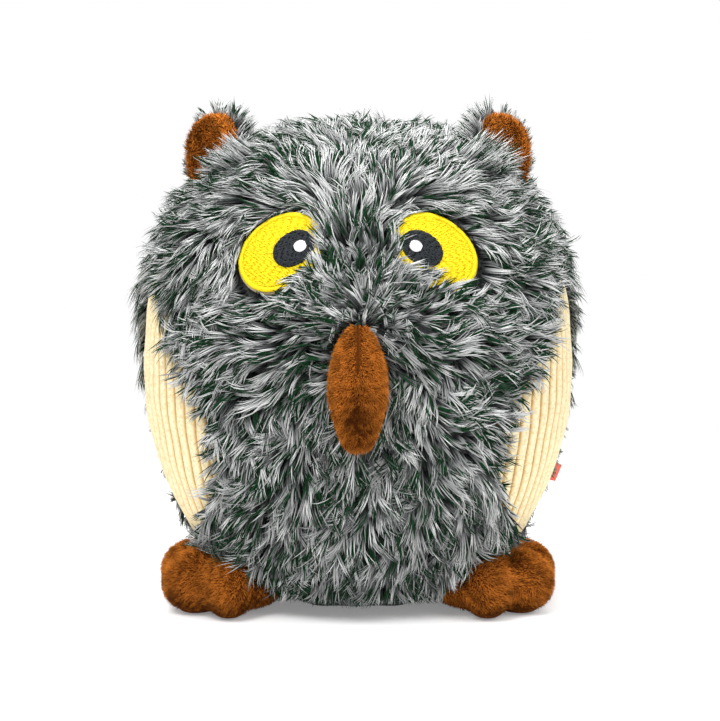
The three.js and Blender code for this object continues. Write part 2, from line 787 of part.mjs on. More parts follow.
const atOrigin = new THREE.Matrix4();
const ears = earCutter();
addPair(
  {
    front_panel: [cut(frontGore, eyeCutter(), beakCutter(), ears, footCutter()), fur()],
    side_panel: [sideGore, corduroy()],
    back_panel: [cut(backGore, ears, footCutter(), moved(labelForm(seamGap), labelFrame)), fur()],
  },
  atOrigin,
);
addPair(eyeLayers(), eyeFrame);
addPair(earPieces(), earFrame);
addPair(footPieces(), footFrame);
addPieces(beakPieces(), beakFrame);
addPieces({ base_panel: [basePanel(), fur()], stuffing_core: [stuffing(), fibre()] }, atOrigin);
addPieces(
  { squeaker_bulb: [squeakerBulb(), softPlastic()], squeaker_reed: [squeakerReed(), softPlastic()] },
  squeakerFrame,
);
addPieces({ seam_label: [labelForm(0), coralRibbon()] }, labelFrame);

export default owl;
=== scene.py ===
# Looks of a ball-shaped plush owl: long two-tone fur, cream corduroy, embroidered eyes and short brown pile.
# Sizes are in millimetres and become metres where a mesh, a lamp or the camera is made.
import math

import bpy
import numpy as np
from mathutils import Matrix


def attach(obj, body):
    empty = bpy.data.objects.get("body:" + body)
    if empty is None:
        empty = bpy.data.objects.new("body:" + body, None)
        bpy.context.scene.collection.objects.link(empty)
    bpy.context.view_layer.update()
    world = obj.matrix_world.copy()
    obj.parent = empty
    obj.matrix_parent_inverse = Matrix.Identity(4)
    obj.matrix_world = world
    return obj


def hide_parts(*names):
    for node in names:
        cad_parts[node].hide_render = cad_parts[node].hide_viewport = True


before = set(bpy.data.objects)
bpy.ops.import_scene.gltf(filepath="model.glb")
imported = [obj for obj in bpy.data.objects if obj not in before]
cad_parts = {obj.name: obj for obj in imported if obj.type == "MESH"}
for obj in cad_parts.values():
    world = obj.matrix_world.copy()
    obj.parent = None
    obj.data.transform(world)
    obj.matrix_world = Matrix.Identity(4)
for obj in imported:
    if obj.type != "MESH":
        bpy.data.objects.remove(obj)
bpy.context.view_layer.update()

MM = 0.001
SEED = 20
HALVES = ((1, "left"), (-1, "right"))

# Body surface, as in the solid model
BODY_WIDTH = 130
BODY_DEPTH = 120
WIDEST_HEIGHT = 74
CROWN_RISE = 69.5
FLOOR_FLAT = 4
BELLY_DROP = WIDEST_HEIGHT + FLOOR_FLAT
CROWN_SQUARENESS = 2.4
BELLY_SQUARENESS = 2.15
PLAN_SQUARENESS = 2.2
CENTRE = np.array([0, 0, WIDEST_HEIGHT])

# Corduroy gores
GORE_BOTTOM = WIDEST_HEIGHT * 0.22
GORE_TOP = WIDEST_HEIGHT + CROWN_RISE * 0.52
SIDE_SEAM = 78
GORE_FRONT = 40
GORE_BACK = 22
GORE_LEAN_SHARE = 0.86
GORE_TIP = 1.5

rng = np.random.default_rng(SEED)


def degrees(value):
    return np.radians(value)


def signed_power(value, exponent):
    return np.sign(value) * np.abs(value) ** exponent


def norm(vectors):
    return vectors / np.maximum(np.linalg.norm(vectors, axis=-1, keepdims=True), 1e-9)


# The part of a way that runs along the surface
def along_surface(way, normals):
    return norm(way - (way * normals).sum(-1, keepdims=True) * normals)


def stack(*values):
    return np.stack(np.broadcast_arrays(*values), axis=-1)


def mirror(points, side):
    return points * np.array([side, 1, 1])


# A tree of shader nodes
class Tree:
    def __init__(self, holder):
        holder.use_nodes = True
        self.nodes = holder.node_tree.nodes
        self.links = holder.node_tree.links

    def put(self, socket, value):
        if isinstance(value, bpy.types.NodeSocket):
            self.links.new(value, socket)
        else:
            socket.default_value = (*value, 1) if isinstance(value, tuple) else value

    # A new node with its inputs given in order or by name
    def add(self, kind, *values, **named):
        node = self.nodes.new("ShaderNode" + kind)
        for socket, value in zip(node.inputs, values):
            self.put(socket, value)
        for name, value in named.items():
            self.put(node.inputs[name.replace("_", " ")], value)
        return node

    def math(self, operation, *values):
        node = self.add("Math", *values)
        node.operation = operation
        return node.outputs[0]

    def noise(self, size, detail=3):
        node = self.add("TexNoise", Vector=self.place(), Scale=1 / (size * MM), Detail=detail, Roughness=0.6)
        return node.outputs["Fac"]

    def place(self):
        return self.add("TexCoord").outputs["Object"]


# A material with a shader and what feeds it
class Look(Tree):
    def __init__(self, name, roughness, sheen=0.0, specular=0.3):
        self.material = bpy.data.materials.new(name)
        super().__init__(self.material)
        self.shader = self.nodes["Principled BSDF"]
        self.put(self.shader.inputs["Roughness"], roughness)
        self.put(self.shader.inputs["Sheen Weight"], sheen)
        self.put(self.shader.inputs["Specular IOR Level"], specular)

    def uv(self, name):
        node = self.add("UVMap")
        node.uv_map = name
        parts = self.add("SeparateXYZ", node.outputs[0])
        return parts.outputs[0], parts.outputs[1]

    def ramp(self, value, stops):
        node = self.add("ValToRGB", value)
        elements = node.color_ramp.elements
        while len(elements) < len(stops):
            elements.new(0.5)
        for element, (place, colour) in zip(elements, stops):
            element.position = place
            element.color = (*colour, 1)
        return node.outputs[0]

    def mix(self, share, first, second):
        node = self.add("Mix")
        node.data_type = "RGBA"
        for number, value in ((0, share), (6, first), (7, second)):
            self.put(node.inputs[number], value)
        return node.outputs[2]

    def colour(self, value):
        self.put(self.shader.inputs["Base Color"], value)

    def bump(self, height, depth):
        node = self.add("Bump", Height=height, Distance=depth * MM)
        self.put(self.shader.inputs["Normal"], node.outputs[0])


# Meshes
def linked(name, data):
    piece = bpy.data.objects.new(name, data)
    bpy.context.collection.objects.link(piece)
    return piece


def add_mesh(name, points, faces, material):
    data = bpy.data.meshes.new(name)
    data.from_pydata((np.asarray(points, float) * MM).tolist(), [], faces)
    data.validate()
    data.update()
    data.shade_smooth()
    data.materials.append(material)
    return linked(name, data)


def values_of(items, name, width=1, kind=float):
    values = np.empty(len(items) * width, kind)
    items.foreach_get(name, values)
    return values.reshape(-1, width)


def grid_faces(columns, rows, start=0, closed=False):
    width = columns if closed else columns + 1
    faces = []
    for j in range(rows):
        for i in range(columns):
            a = start + j * width + i
            b = start + j * width + (i + 1) % width
            faces.append((a, b, b + width, a + width))
    return faces


# Faces of a closed form: a first point, rings of points and a last point
def capped_faces(count, rings):
    last = 1 + rings * count
    pairs = [(i, (i + 1) % count) for i in range(count)]
    faces = grid_faces(count, rings - 1, 1, closed=True)
    faces += [(0, 1 + b, 1 + a) for a, b in pairs]
    faces += [(last, last - count + a, last - count + b) for a, b in pairs]
    return faces


# A closed sheet: an outer grid of points over an inner one, joined round the edges
def sheet_mesh(name, outer, inner, material):
    rows, columns = outer.shape[0] - 1, outer.shape[1] - 1
    width = columns + 1
    count = (rows + 1) * width
    points = np.concatenate([outer.reshape(-1, 3), inner.reshape(-1, 3)])
    faces = grid_faces(columns, rows)
    faces += [face[::-1] for face in grid_faces(columns, rows, count)]
    edge = list(range(columns))
    edge += [columns + j * width for j in range(rows)]
    edge += [rows * width + columns - i for i in range(columns)]
    edge += [(rows - j) * width for j in range(rows)]
    for here, after in zip(edge, edge[1:] + edge[:1]):
        faces.append((here, here + count, after + count, after))
    return add_mesh(name, points, faces, material)


def set_uv(piece, name, values):
    layer = piece.data.uv_layers.new(name=name)
    corners = values_of(piece.data.loops, "vertex_index", kind=np.int32)[:, 0]
    layer.data.foreach_set("uv", np.asarray(values, np.float32)[corners].ravel())


# A piece on the toy: it is hung on its body, and the solid that it stands for is hidden. Its slot is not used.
def dress(piece, body, slot, node=None):
    if node:
        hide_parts(node)
    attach(piece, body)


# Camera: straight in front, a little above
VIEW_ELEVATION = 12
VIEW_HEIGHT = 223.5  # of the picture at the object
LENS = 200
SENSOR = 36
VIEW_END = 20000
AIM_SIDE = 0.6
AIM_HEIGHT = 73.3


def add_camera():
    data = bpy.data.cameras.new("camera")
    data.lens = LENS
    data.sensor_width = SENSOR
    data.clip_end = VIEW_END * MM
    camera = linked("camera", data)
    distance = VIEW_HEIGHT * LENS / SENSOR
    lift = math.radians(VIEW_ELEVATION)
    place = np.array([AIM_SIDE, -distance * math.cos(lift), AIM_HEIGHT + distance * math.sin(lift)])
    camera.location = place * MM
    camera.rotation_euler = (math.pi / 2 - lift, 0, 0)
    bpy.context.scene.camera = camera


# Lights: three soft lamps and an even surround. A lamp's place (aside, back and up) and size are shares of the
# lamps' distance, and its power is in watts.
LAMP_DISTANCE = 1000
LAMP_SHARES = {
    "key_lamp": ((-0.35, -0.7, 0.85), 0.5, 9),
    "fill_lamp": ((0.6, -0.6, 0.7), 0.6, 5),
    "top_lamp": ((0, 0.1, 0.9), 0.6, 6),
}
SURROUND_STRENGTH = 0.6


def add_lights():
    for name, (place_shares, size_share, power) in LAMP_SHARES.items():
        data = bpy.data.lights.new(name, "AREA")
        data.shape = "DISK"
        data.size = size_share * LAMP_DISTANCE * MM
        data.energy = power
        lamp = linked(name, data)
        place = np.array(place_shares) * LAMP_DISTANCE
        lamp.location = place * MM
        side, forward, up = np.array([0, 0, AIM_HEIGHT]) - place
        lamp.rotation_euler = (math.atan2(math.hypot(side, forward), -up), 0, math.atan2(-side, forward))


# The surround lights the toy evenly, and the camera and gloss see it as white
def add_world():
    world = bpy.data.worlds.new("surround")
    tree = Tree(world)
    bpy.context.scene.world = world
    paths = tree.add("LightPath").outputs
    seen = tree.math("MAXIMUM", paths["Is Camera Ray"], paths["Is Glossy Ray"])
    strength = tree.add("MapRange", Value=seen, To_Min=SURROUND_STRENGTH, To_Max=1)
    background = tree.nodes["Background"]
    tree.put(background.inputs["Strength"], strength.outputs[0])
    tree.put(background.inputs["Color"], (1, 1, 1))


# Floor: a pale disc that holds the shadow and fades out into the surround
FLOOR_RADIUS = 700
FLOOR_FADE = 260
FLOOR_RING_SHARES = (0.01, 0.1, 0.2, 0.35, 0.6, 1)
FLOOR_STEPS = 64
FLOOR_GREY = 0.9
FLOOR_GLOW = 0.22  # for the camera's eye only, so that it looks white


def floor_material():
    look = Look("floor_white", 0.8)
    look.colour((FLOOR_GREY, FLOOR_GREY, FLOOR_GREY))
    seen = look.add("LightPath").outputs["Is Camera Ray"]
    glow = look.add("Emission", Strength=look.math("MULTIPLY", seen, FLOOR_GLOW))
    lit = look.add("AddShader", look.shader.outputs[0], glow.outputs[0])
    length = look.add("VectorMath", look.place())
    length.operation = "LENGTH"
    fade = look.add(
        "MapRange", Value=length.outputs["Value"], From_Min=FLOOR_FADE / 2 * MM, From_Max=FLOOR_FADE * MM)
    fade.interpolation_type = "SMOOTHSTEP"
    clear = look.add("BsdfTransparent")
    both = look.add("MixShader", fade.outputs[0], lit.outputs[0], clear.outputs[0])
    look.put(look.nodes["Material Output"].inputs["Surface"], both.outputs[0])
    return look.material


def add_floor():
    turns = 2 * np.pi * np.arange(FLOOR_STEPS) / FLOOR_STEPS
    circle = FLOOR_RADIUS * stack(np.cos(turns), np.sin(turns), 0)
    points = np.concatenate([[[0, 0, 0]], *(share * circle for share in FLOOR_RING_SHARES)])
    faces = [(0, 1 + i, 1 + (i + 1) % FLOOR_STEPS) for i in range(FLOOR_STEPS)]
    faces += [face[::-1] for face in grid_faces(FLOOR_STEPS, len(FLOOR_RING_SHARES) - 1, 1, closed=True)]
    add_mesh("floor", points, faces, floor_material())


# Body surface: rounded-square profiles, moved out or in by an offset
def squareness_at(latitude):
    return np.where(latitude > 0, CROWN_SQUARENESS, BELLY_SQUARENESS)


def rise_at(latitude):
    return np.where(latitude > 0, CROWN_RISE, BELLY_DROP)


def body_point(angle, latitude, offset=0.0):
    squareness = squareness_at(latitude)
    spread = np.abs(np.cos(latitude)) ** (2 / squareness)
    side = (BODY_WIDTH / 2 + offset) * spread * signed_power(np.sin(angle), 2 / PLAN_SQUARENESS)
    forward = -(BODY_DEPTH / 2 + offset) * spread * signed_power(np.cos(angle), 2 / PLAN_SQUARENESS)
    height = WIDEST_HEIGHT + (rise_at(latitude) + offset) * signed_power(np.sin(latitude), 2 / squareness)
    return stack(side, forward, height)


def latitude_at(height, offset=0.0):
    level = np.asarray(height, float) - WIDEST_HEIGHT
    share = np.minimum(np.abs(level) / (rise_at(level) + offset), 1)
    return np.sign(level) * np.arcsin(share ** (squareness_at(level) / 2))


# Angle round the body of a point on or near its surface, 0 at the face and growing towards +X
def angle_of(points):
    side = np.abs(points[..., 0] / BODY_WIDTH) ** (PLAN_SQUARENESS / 2)
    forward = np.abs(points[..., 1] / BODY_DEPTH) ** (PLAN_SQUARENESS / 2)
    return np.arctan2(np.sign(points[..., 0]) * side, -np.sign(points[..., 1]) * forward)


# Angles of the seams in front of and behind a gore at a height
def seams_at(height):
    share = np.clip((height - GORE_BOTTOM) / (GORE_TOP - GORE_BOTTOM), 0, 1)
    width = np.sin(np.pi * share ** GORE_LEAN_SHARE)
    tip = np.where((height > GORE_BOTTOM) & (height < GORE_TOP), GORE_TIP, 0)
    return degrees(SIDE_SEAM - tip - GORE_FRONT * width), degrees(SIDE_SEAM + tip + GORE_BACK * width)


# How far out a point is, as a power sum that is 1 on the surface, and the outward direction there
def body_level(points, offset=0.0):
    side = np.abs(points[..., 0] / (BODY_WIDTH / 2 + offset))
    forward = np.abs(points[..., 1] / (BODY_DEPTH / 2 + offset))
    level = points[..., 2] - WIDEST_HEIGHT
    up = np.abs(level) / (rise_at(level) + offset)
    squareness = squareness_at(level)
    plan = side ** PLAN_SQUARENESS + forward ** PLAN_SQUARENESS
    return plan ** (squareness / PLAN_SQUARENESS) + up ** squareness


SLOPE_STEP = 0.05


def body_normal(points):
    slopes = []
    for axis in range(3):
        shift = np.zeros(3)
        shift[axis] = SLOPE_STEP
        slopes.append(body_level(points + shift) - body_level(points - shift))
    normal = np.stack(slopes, axis=-1)
    return normal / np.linalg.norm(normal, axis=-1, keepdims=True)


def on_body(directions):
    reach = body_level(directions + CENTRE) ** (-1 / squareness_at(directions[..., 2]))
    return directions * reach[..., None] + CENTRE


# Frames: an origin and three axes as rows, for pieces made in their own space
class Place:
    def __init__(self, origin, axes):
        self.origin = np.asarray(origin, float)
        self.axes = np.asarray(axes, float)

    def out(self, points):
        return self.origin + np.asarray(points, float) @ self.axes

    def turn(self, directions):
        return np.asarray(directions, float) @ self.axes

    def into(self, points):
        return (np.asarray(points, float) - self.origin) @ self.axes.T


# Turns are given as axis=angle and done in that order
def turned_axes(**turns):
    axes = np.eye(3)
    for axis, angle in turns.items():
        cos, sin = math.cos(math.radians(angle)), math.sin(math.radians(angle))
        first, second = {"x": (1, 2), "y": (2, 0), "z": (0, 1)}[axis]
        turn = np.eye(3)
        turn[first, first] = turn[second, second] = cos
        turn[first, second] = sin
        turn[second, first] = -sin
        axes = turn @ axes
    return axes


def surface_place(angle, height, offset):
    latitude = latitude_at(height)
    step = 1e-4
    origin = body_point(angle, latitude)
    sideways = body_point(angle + step, latitude) - origin
    upwards = body_point(angle, latitude + step) - origin
    sideways /= np.linalg.norm(sideways)
    outwards = np.cross(sideways, upwards)
    outwards /= np.linalg.norm(outwards)
    return Place(origin + outwards * offset, [sideways, np.cross(outwards, sideways), outwards])


def turn_about(points, pivot, axis, angle):
    axis = np.asarray(axis, float)
    axis = axis / np.linalg.norm(axis)
    cos, sin = math.cos(math.radians(angle)), math.sin(math.radians(angle))
    arm = points - pivot
    along = (arm @ axis)[..., None] * axis
    return pivot + arm * cos + np.cross(axis, arm) * sin + along * (1 - cos)


# What meets the body is pushed out of it, at rest and as its joint turns
def pushed_out(points, offset, pivot, axis, angles):
    for angle in angles:
        turned = turn_about(points, pivot, axis, angle)
        level = body_level(turned, offset)
        squareness = squareness_at(turned[..., 2] - WIDEST_HEIGHT)
        grown = CENTRE + (turned - CENTRE) * (np.maximum(level, 1e-6) ** (-1 / squareness))[..., None]
        turned = np.where((level < 1)[..., None], grown, turned)
        points = turn_about(turned, pivot, axis, -angle)
    return points


# A smooth random field over space, with waves of about one size
def waves(points, size, count=5):
    total = np.zeros(len(points))
    for _ in range(count):
        direction = norm(rng.normal(size=3)) * 2 * np.pi / (size * rng.uniform(0.7, 1.4))
        total += np.sin(points @ direction + rng.uniform(0, 2 * np.pi))
    return total / count ** 0.5


# Strands: tapered tubes along paths, all in one mesh. UVs hold the strand's variant and the place along it.
SIDES = 3
FUR_FLATNESS_SHARE = 0.5  # of a strand's width, where its outward side is given


def strand_piece(name, paths, radii, variants, material, sides=SIDES, outward=None):
    count, rings = radii.shape
    tangents = norm(np.gradient(paths, axis=1))[:, :rings]
    helper = rng.normal(size=(count, 1, 3)) if outward is None else outward[:, None]
    first = norm(np.cross(tangents, helper))
    second = np.cross(first, tangents) * (1 if outward is None else FUR_FLATNESS_SHARE)
    turns = 2 * np.pi * np.arange(sides) / sides + np.pi / 2
    spokes = first[:, :, None] * np.cos(turns)[:, None] + second[:, :, None] * np.sin(turns)[:, None]
    tubes = paths[:, :rings, None] + spokes * radii[:, :, None, None]
    per_strand = rings * sides + 1
    points = np.concatenate([tubes.reshape(count, -1, 3), paths[:, -1:]], axis=1)
    quads = np.array(grid_faces(sides, rings - 1, closed=True)).reshape(-1, 4)
    last = (rings - 1) * sides
    tips = np.array([(last + i, last + (i + 1) % sides, per_strand - 1) for i in range(sides)])
    starts = np.arange(count)[:, None] * per_strand
    corners = np.concatenate([quads.ravel()[None] + starts, tips.ravel()[None] + starts], axis=1)
    sizes = np.tile(np.r_[np.full(len(quads), 4), np.full(len(tips), 3)], count)
    data = bpy.data.meshes.new(name)
    data.vertices.add(count * per_strand)
    data.vertices.foreach_set("co", (points * MM).astype(np.float32).ravel())
    data.loops.add(corners.size)
    data.loops.foreach_set("vertex_index", corners.astype(np.int32).ravel())
    data.polygons.add(len(sizes))
    data.polygons.foreach_set("loop_start", (np.cumsum(sizes) - sizes).astype(np.int32))
    data.update(calc_edges=True)
    data.shade_smooth()
    data.materials.append(material)
    piece = linked(name, data)
    along = np.r_[np.repeat(np.arange(rings) / rings, sides), 1]
    set_uv(piece, "OFBake", stack(variants[:, None], along[None]).reshape(-1, 2))
    return piece


# Even random points on a mesh, with the outward directions there
def sample_mesh(piece, spacing):
    data = piece.data
    data.calc_loop_triangles()
    corners = values_of(data.loop_triangles, "vertices", 3, np.int32)
    places = values_of(data.vertices, "co", 3)[corners] / MM
    normals = values_of(data.vertices, "normal", 3)[corners]
    areas = np.linalg.norm(np.cross(places[:, 1] - places[:, 0], places[:, 2] - places[:, 0]), axis=1) / 2
    count = int(areas.sum() / spacing ** 2)
    chosen = np.searchsorted(np.cumsum(areas) / areas.sum(), (np.arange(count) + rng.random(count)) / count)
    chosen = np.minimum(chosen, len(areas) - 1)
    shares = rng.dirichlet((1, 1, 1), count)[:, :, None]
    return (places[chosen] * shares).sum(1), norm((normals[chosen] * shares).sum(1))


# Short brown pile: bent strands over a mesh, leaning along a nap direction
PILE_WIDTH = 0.26
PILE_SCATTER = 0.34
PILE_STAND = 1.1  # of short pile above its cloth, kept inside the solid's form
PILE_TAPER_SHARES = np.array([1, 0.8])
PILE_ROOT = 0.2  # below the cloth
PILE_OFF_BODY = 1.5


def short_pile(points, normals, nap, length, lean, width=PILE_WIDTH, scatter=PILE_SCATTER):
    count = len(points)
    nap = along_surface(nap, normals)
    direction = norm(normals + lean * nap + scatter * rng.normal(size=(count, 3)))
    bend = norm(direction + 0.5 * lean * nap + 0.5 * scatter * rng.normal(size=(count, 3)))
    reach = length * (0.75 + 0.5 * rng.random(count))[:, None]
    steps = len(PILE_TAPER_SHARES)
    paths = [points - normals * PILE_ROOT]
    for step in range(steps):
        share = (step + 0.5) / steps
        paths.append(paths[-1] + (direction * (1 - share) + bend * share) * reach / steps)
    return np.stack(paths, axis=1), width / 2 * PILE_TAPER_SHARES * np.ones((count, 1))


# How dark the strands of short pile are, in small clumps and wider drifts, plus the darkness that each caller
# adds, which holds a darker tone and painted shade
def pile_darkness(points, more=0.0):
    clumps = 0.19 * waves(points, 2.4) + 0.17 * waves(points, 8)
    return np.clip(0.33 + clumps + 0.3 * (rng.random(len(points)) - 0.5) + more, 0.01, 0.99)


def plush_material(name, root, middle, tip):
    look = Look(name, 0.85, specular=0.06)
    variant, along = look.uv("OFBake")
    # Painted shade deep in the pile: darker towards the root
    shade = look.ramp(along, [(0, root), (0.3, middle), (0.8, tip)])
    look.colour(look.mix(look.math("MULTIPLY", variant, 0.92), shade, root))
    return look.material


def cloth_material(name, dark, light, size=0.6, roughness=0.95):
    look = Look(name, roughness, specular=0.1)
    grain = look.noise(size)
    look.colour(look.ramp(grain, [(0.3, dark), (0.75, light)]))
    look.bump(grain, 0.3)
    return look.material


# Fur panels' woven backing: four closed sheets under the pile, a little quilted
BACKING = 1.5
PANEL_COLUMNS = 40
PANEL_ROWS = 70
PANEL_LOW = 0.3
PANEL_HIGH = WIDEST_HEIGHT + CROWN_RISE - 0.05
SEAM_GAP = 0.25  # degrees
QUILT_DEPTH = 0.35


def skin_material():
    look = Look("fur_backing", 0.95, sheen=0.2)
    knots = look.noise(0.9, detail=2)
    dark = look.ramp(knots, [(0.3, (0.02, 0.022, 0.022)), (0.75, (0.1, 0.105, 0.105))])
    look.colour(look.mix(look.noise(9), dark, (0.05, 0.055, 0.055)))
    look.bump(knots, 0.5)
    return look.material


def add_panel(name, seams, side, material, outside, columns, rows, low, high):
    latitudes = np.linspace(latitude_at(low), latitude_at(high), rows + 1)
    front, back = seams_at(body_point(0.0, latitudes)[..., 2])
    start, end = seams(front, back)
    share = np.linspace(0, 1, columns + 1)
    gap = degrees(SEAM_GAP)
    angles = (start + gap)[:, None] + (end - start - 2 * gap)[:, None] * share[None, :]
    latitudes = latitudes[:, None] + 0 * angles
    layers = [body_point(angles, latitudes, offset) for offset in (outside(angles, latitudes), -BACKING)]
    layers = [mirror(layer, side)[:, ::side] for layer in layers]
    return sheet_mesh(name, *layers, material)


def quilt(angles, latitudes):
    return QUILT_DEPTH * np.sin(9 * angles) * np.sin(7 * latitudes)


def add_fur_skins():
    material = skin_material()
    parts = {
        "front": lambda front, back: (0 * front, front),
        "back": lambda front, back: (back, 0 * back + np.pi),
    }
    grid = (PANEL_COLUMNS, PANEL_ROWS, PANEL_LOW, PANEL_HIGH)
    for side, word in HALVES:
        for part, seams in parts.items():
            skin = add_panel(f"{part}_skin_{word}", seams, side, material, quilt, *grid)
            dress(skin, "body", "grey_fur", f"{part}_panel_{word}")


# Corduroy gores: ribs that follow the cloth's grain and are cut off by the seams
RIB_ANGLE = 4.5
RIB_HEIGHT = 1.15
RIB_FLATNESS = 2.6
SEAM_DIP = 1.3
SEAM_WIDTH = 2.6
GORE_COLUMNS = 170
GORE_ROWS = 150
GORE_GAP = 0.2
GORE_WAVES = ((0.25, 0.11, 5), (0.12, 0.37, -9))  # of the cloth: size, then turns up and round


def corduroy_material():
    look = Look("corduroy", 0.95, specular=0.1)
    _, across = look.uv("Wale")
    nap = look.noise(0.9)
    drift = look.noise(14)
    # Across each rib: painted shade down in the groove, lighter towards the crest
    groove_shade = look.ramp(across, [
        (0, (0.34, 0.17, 0.04)),
        (0.35, (0.6, 0.38, 0.14)),
        (0.6, (0.93, 0.76, 0.44)),
        (0.85, (0.99, 0.88, 0.6)),
    ])
    speckle = look.ramp(nap, [(0.5, (0, 0, 0)), (0.62, (1, 1, 1))])
    light = look.mix(look.math("MULTIPLY", speckle, 0.6), groove_shade, (0.78, 0.56, 0.26))
    look.colour(look.mix(look.math("MULTIPLY", drift, 0.15), light, (0.8, 0.62, 0.34)))
    look.bump(nap, 0.7)
    return look.material


def rib_share(angles):
    place = np.abs(((angles / degrees(RIB_ANGLE) + 0.5) % 1) - 0.5) * 2
    return 1 - place ** RIB_FLATNESS


def add_corduroy():
    material = corduroy_material()
    for side, word in HALVES:
        shares = []

        def outside(angles, latitudes):
            heights = body_point(angles, latitudes)[..., 2]
            front, back = seams_at(heights)
            turn = np.minimum(angles - front, back - angles) * BODY_WIDTH / 2 * np.cos(latitudes)
            inset = np.clip(turn / SEAM_WIDTH, 0, 1)
            shares.append(rib_share(angles))
            wobble = sum(size * np.sin(up * heights + about * angles) for size, up, about in GORE_WAVES)
            return (RIB_HEIGHT * shares[0] + wobble) * inset ** 0.5 - SEAM_DIP * (1 - inset) ** 2

        gore = add_panel(
            f"corduroy_{word}", lambda front, back: (front, back), side, material, outside,
            GORE_COLUMNS, GORE_ROWS, GORE_BOTTOM + GORE_GAP, GORE_TOP - GORE_GAP)
        ribs = shares[0][:, ::side].ravel()
        set_uv(gore, "Wale", np.tile(stack(0, ribs), (2, 1)))
        dress(gore, "body", "cream_corduroy", f"side_panel_{word}")


# Eyes: stitched layers on the felt patch
EYE_LENGTH = 27.2
EYE_WIDTH = 21.6
EYE_SIDE = 21
EYE_HEIGHT = WIDEST_HEIGHT + CROWN_RISE * 0.6
EYE_TILT = 42
EYE_DOME = 66
EYE_SEAT = 1.7
EYE_SQUARENESS = 2.12
FELT_THICKNESS = 1.2
FELT_MARGIN = 0.6
FELT_BUMPS = 0.05
RIM_WIDTH = 1.6
RIM_RISE = 0.45
RIM_SEAT = 0.25
PUPIL_LENGTH = 13.2
PUPIL_WIDTH = 10.2
PUPIL_INSET = 4.2
PUPIL_LIFT = 1
HIGHLIGHT_DIAMETER = 3.9
HIGHLIGHT_INSET = 2.0
HIGHLIGHT_LIFT = 0.8
HIGHLIGHT_GRAIN = 60
IRIS_GRAIN = 8
STITCH_PITCH = 0.3
STITCH_LENGTH = 2.3
STITCH_POINTS = 8
STITCH_RISE = 0.16
STITCH_DIP = 0.22
STITCH_SHAKE = 0.015
STITCH_SHIFT = 0.12  # along the row
STITCH_SWAY = 0.03  # aside
SATIN_RISE = 0.25
THREAD_SIDES = 5
FILL_LEVEL = 1.9
PUPIL_LEVEL = 2.4
HIGHLIGHT_LEVEL = 2.75
DISC_STEPS = 72

# A disc's rings: reaches underneath, then reaches on top, each with how far it falls from the top
DISC_UNDER_SHARES = (0.15, 0.4, 0.65, 0.85, 0.95, 1)
DISC_CROWN_SHARES = ((1, 0.35), (0.985, 0.1), (0.95, 0.03), (0.85, 0), (0.65, 0), (0.4, 0), (0.15, 0))

EYE_PLACE = surface_place(degrees(EYE_SIDE), EYE_HEIGHT, EYE_SEAT)


def flat_axes(angle):
    cos, sin = math.cos(math.radians(angle)), math.sin(math.radians(angle))
    return np.array([[cos, sin], [-sin, cos]])


class Oval:
    def __init__(self, length, width, centre=(0, 0)):
        self.half = np.array([length / 2, width / 2])
        self.centre = np.array(centre, float)
        self.axes = flat_axes(-EYE_TILT)

    def at(self, turn, reach):
        power = 2 / EYE_SQUARENESS
        across = self.half * stack(signed_power(np.cos(turn), power), signed_power(np.sin(turn), power))
        return self.centre + across * np.asarray(reach)[..., None] @ self.axes

    def level(self, points):
        local = np.abs(((points[..., :2] - self.centre) @ self.axes.T) / self.half)
        return (local ** EYE_SQUARENESS).sum(-1) ** (1 / EYE_SQUARENESS)


def on_dome(points, rise):
    fall = (points ** 2).sum(-1) / (2 * EYE_DOME)
    return np.concatenate([points, (rise - fall)[..., None]], axis=-1)


def domed_disc(name, oval, low, high, side, material, bumpiness=0.0):
    turns = np.linspace(0, 2 * np.pi, DISC_STEPS, endpoint=False)
    even = np.ones(DISC_STEPS)
    rings = [on_dome(oval.at(turns, share * even), low * even) for share in DISC_UNDER_SHARES]
    for share, fall in DISC_CROWN_SHARES:
        rise = high - fall * (high - low) + bumpiness * rng.normal(size=DISC_STEPS)
        rings.append(on_dome(oval.at(turns, share * even), rise))
    middle = oval.centre[None]
    points = [on_dome(middle, np.array([low])), *rings, on_dome(middle, np.array([high]))]
    points = mirror(EYE_PLACE.out(np.concatenate(points)), side)
    faces = [face[::side] for face in capped_faces(DISC_STEPS, len(rings))]
    return add_mesh(name, points, faces, material)


# Threads along lines on the eye, at a rise over its cloth, thinner at their two ends
def thread_piece(name, flat, rise, side, material, width_share, end_shares, shake=0.0):
    points = on_dome(flat, np.broadcast_to(rise, flat.shape[:2]))
    if shake:
        points = points + rng.normal(0, shake, points.shape)
    paths = mirror(EYE_PLACE.out(points), side)
    taper = np.ones(flat.shape[1] - 1)
    taper[[0, -1]] = end_shares
    radii = STITCH_PITCH * width_share * taper * np.ones((len(paths), 1))
    return strand_piece(name, paths, radii, rng.random(len(paths)), material, sides=THREAD_SIDES)


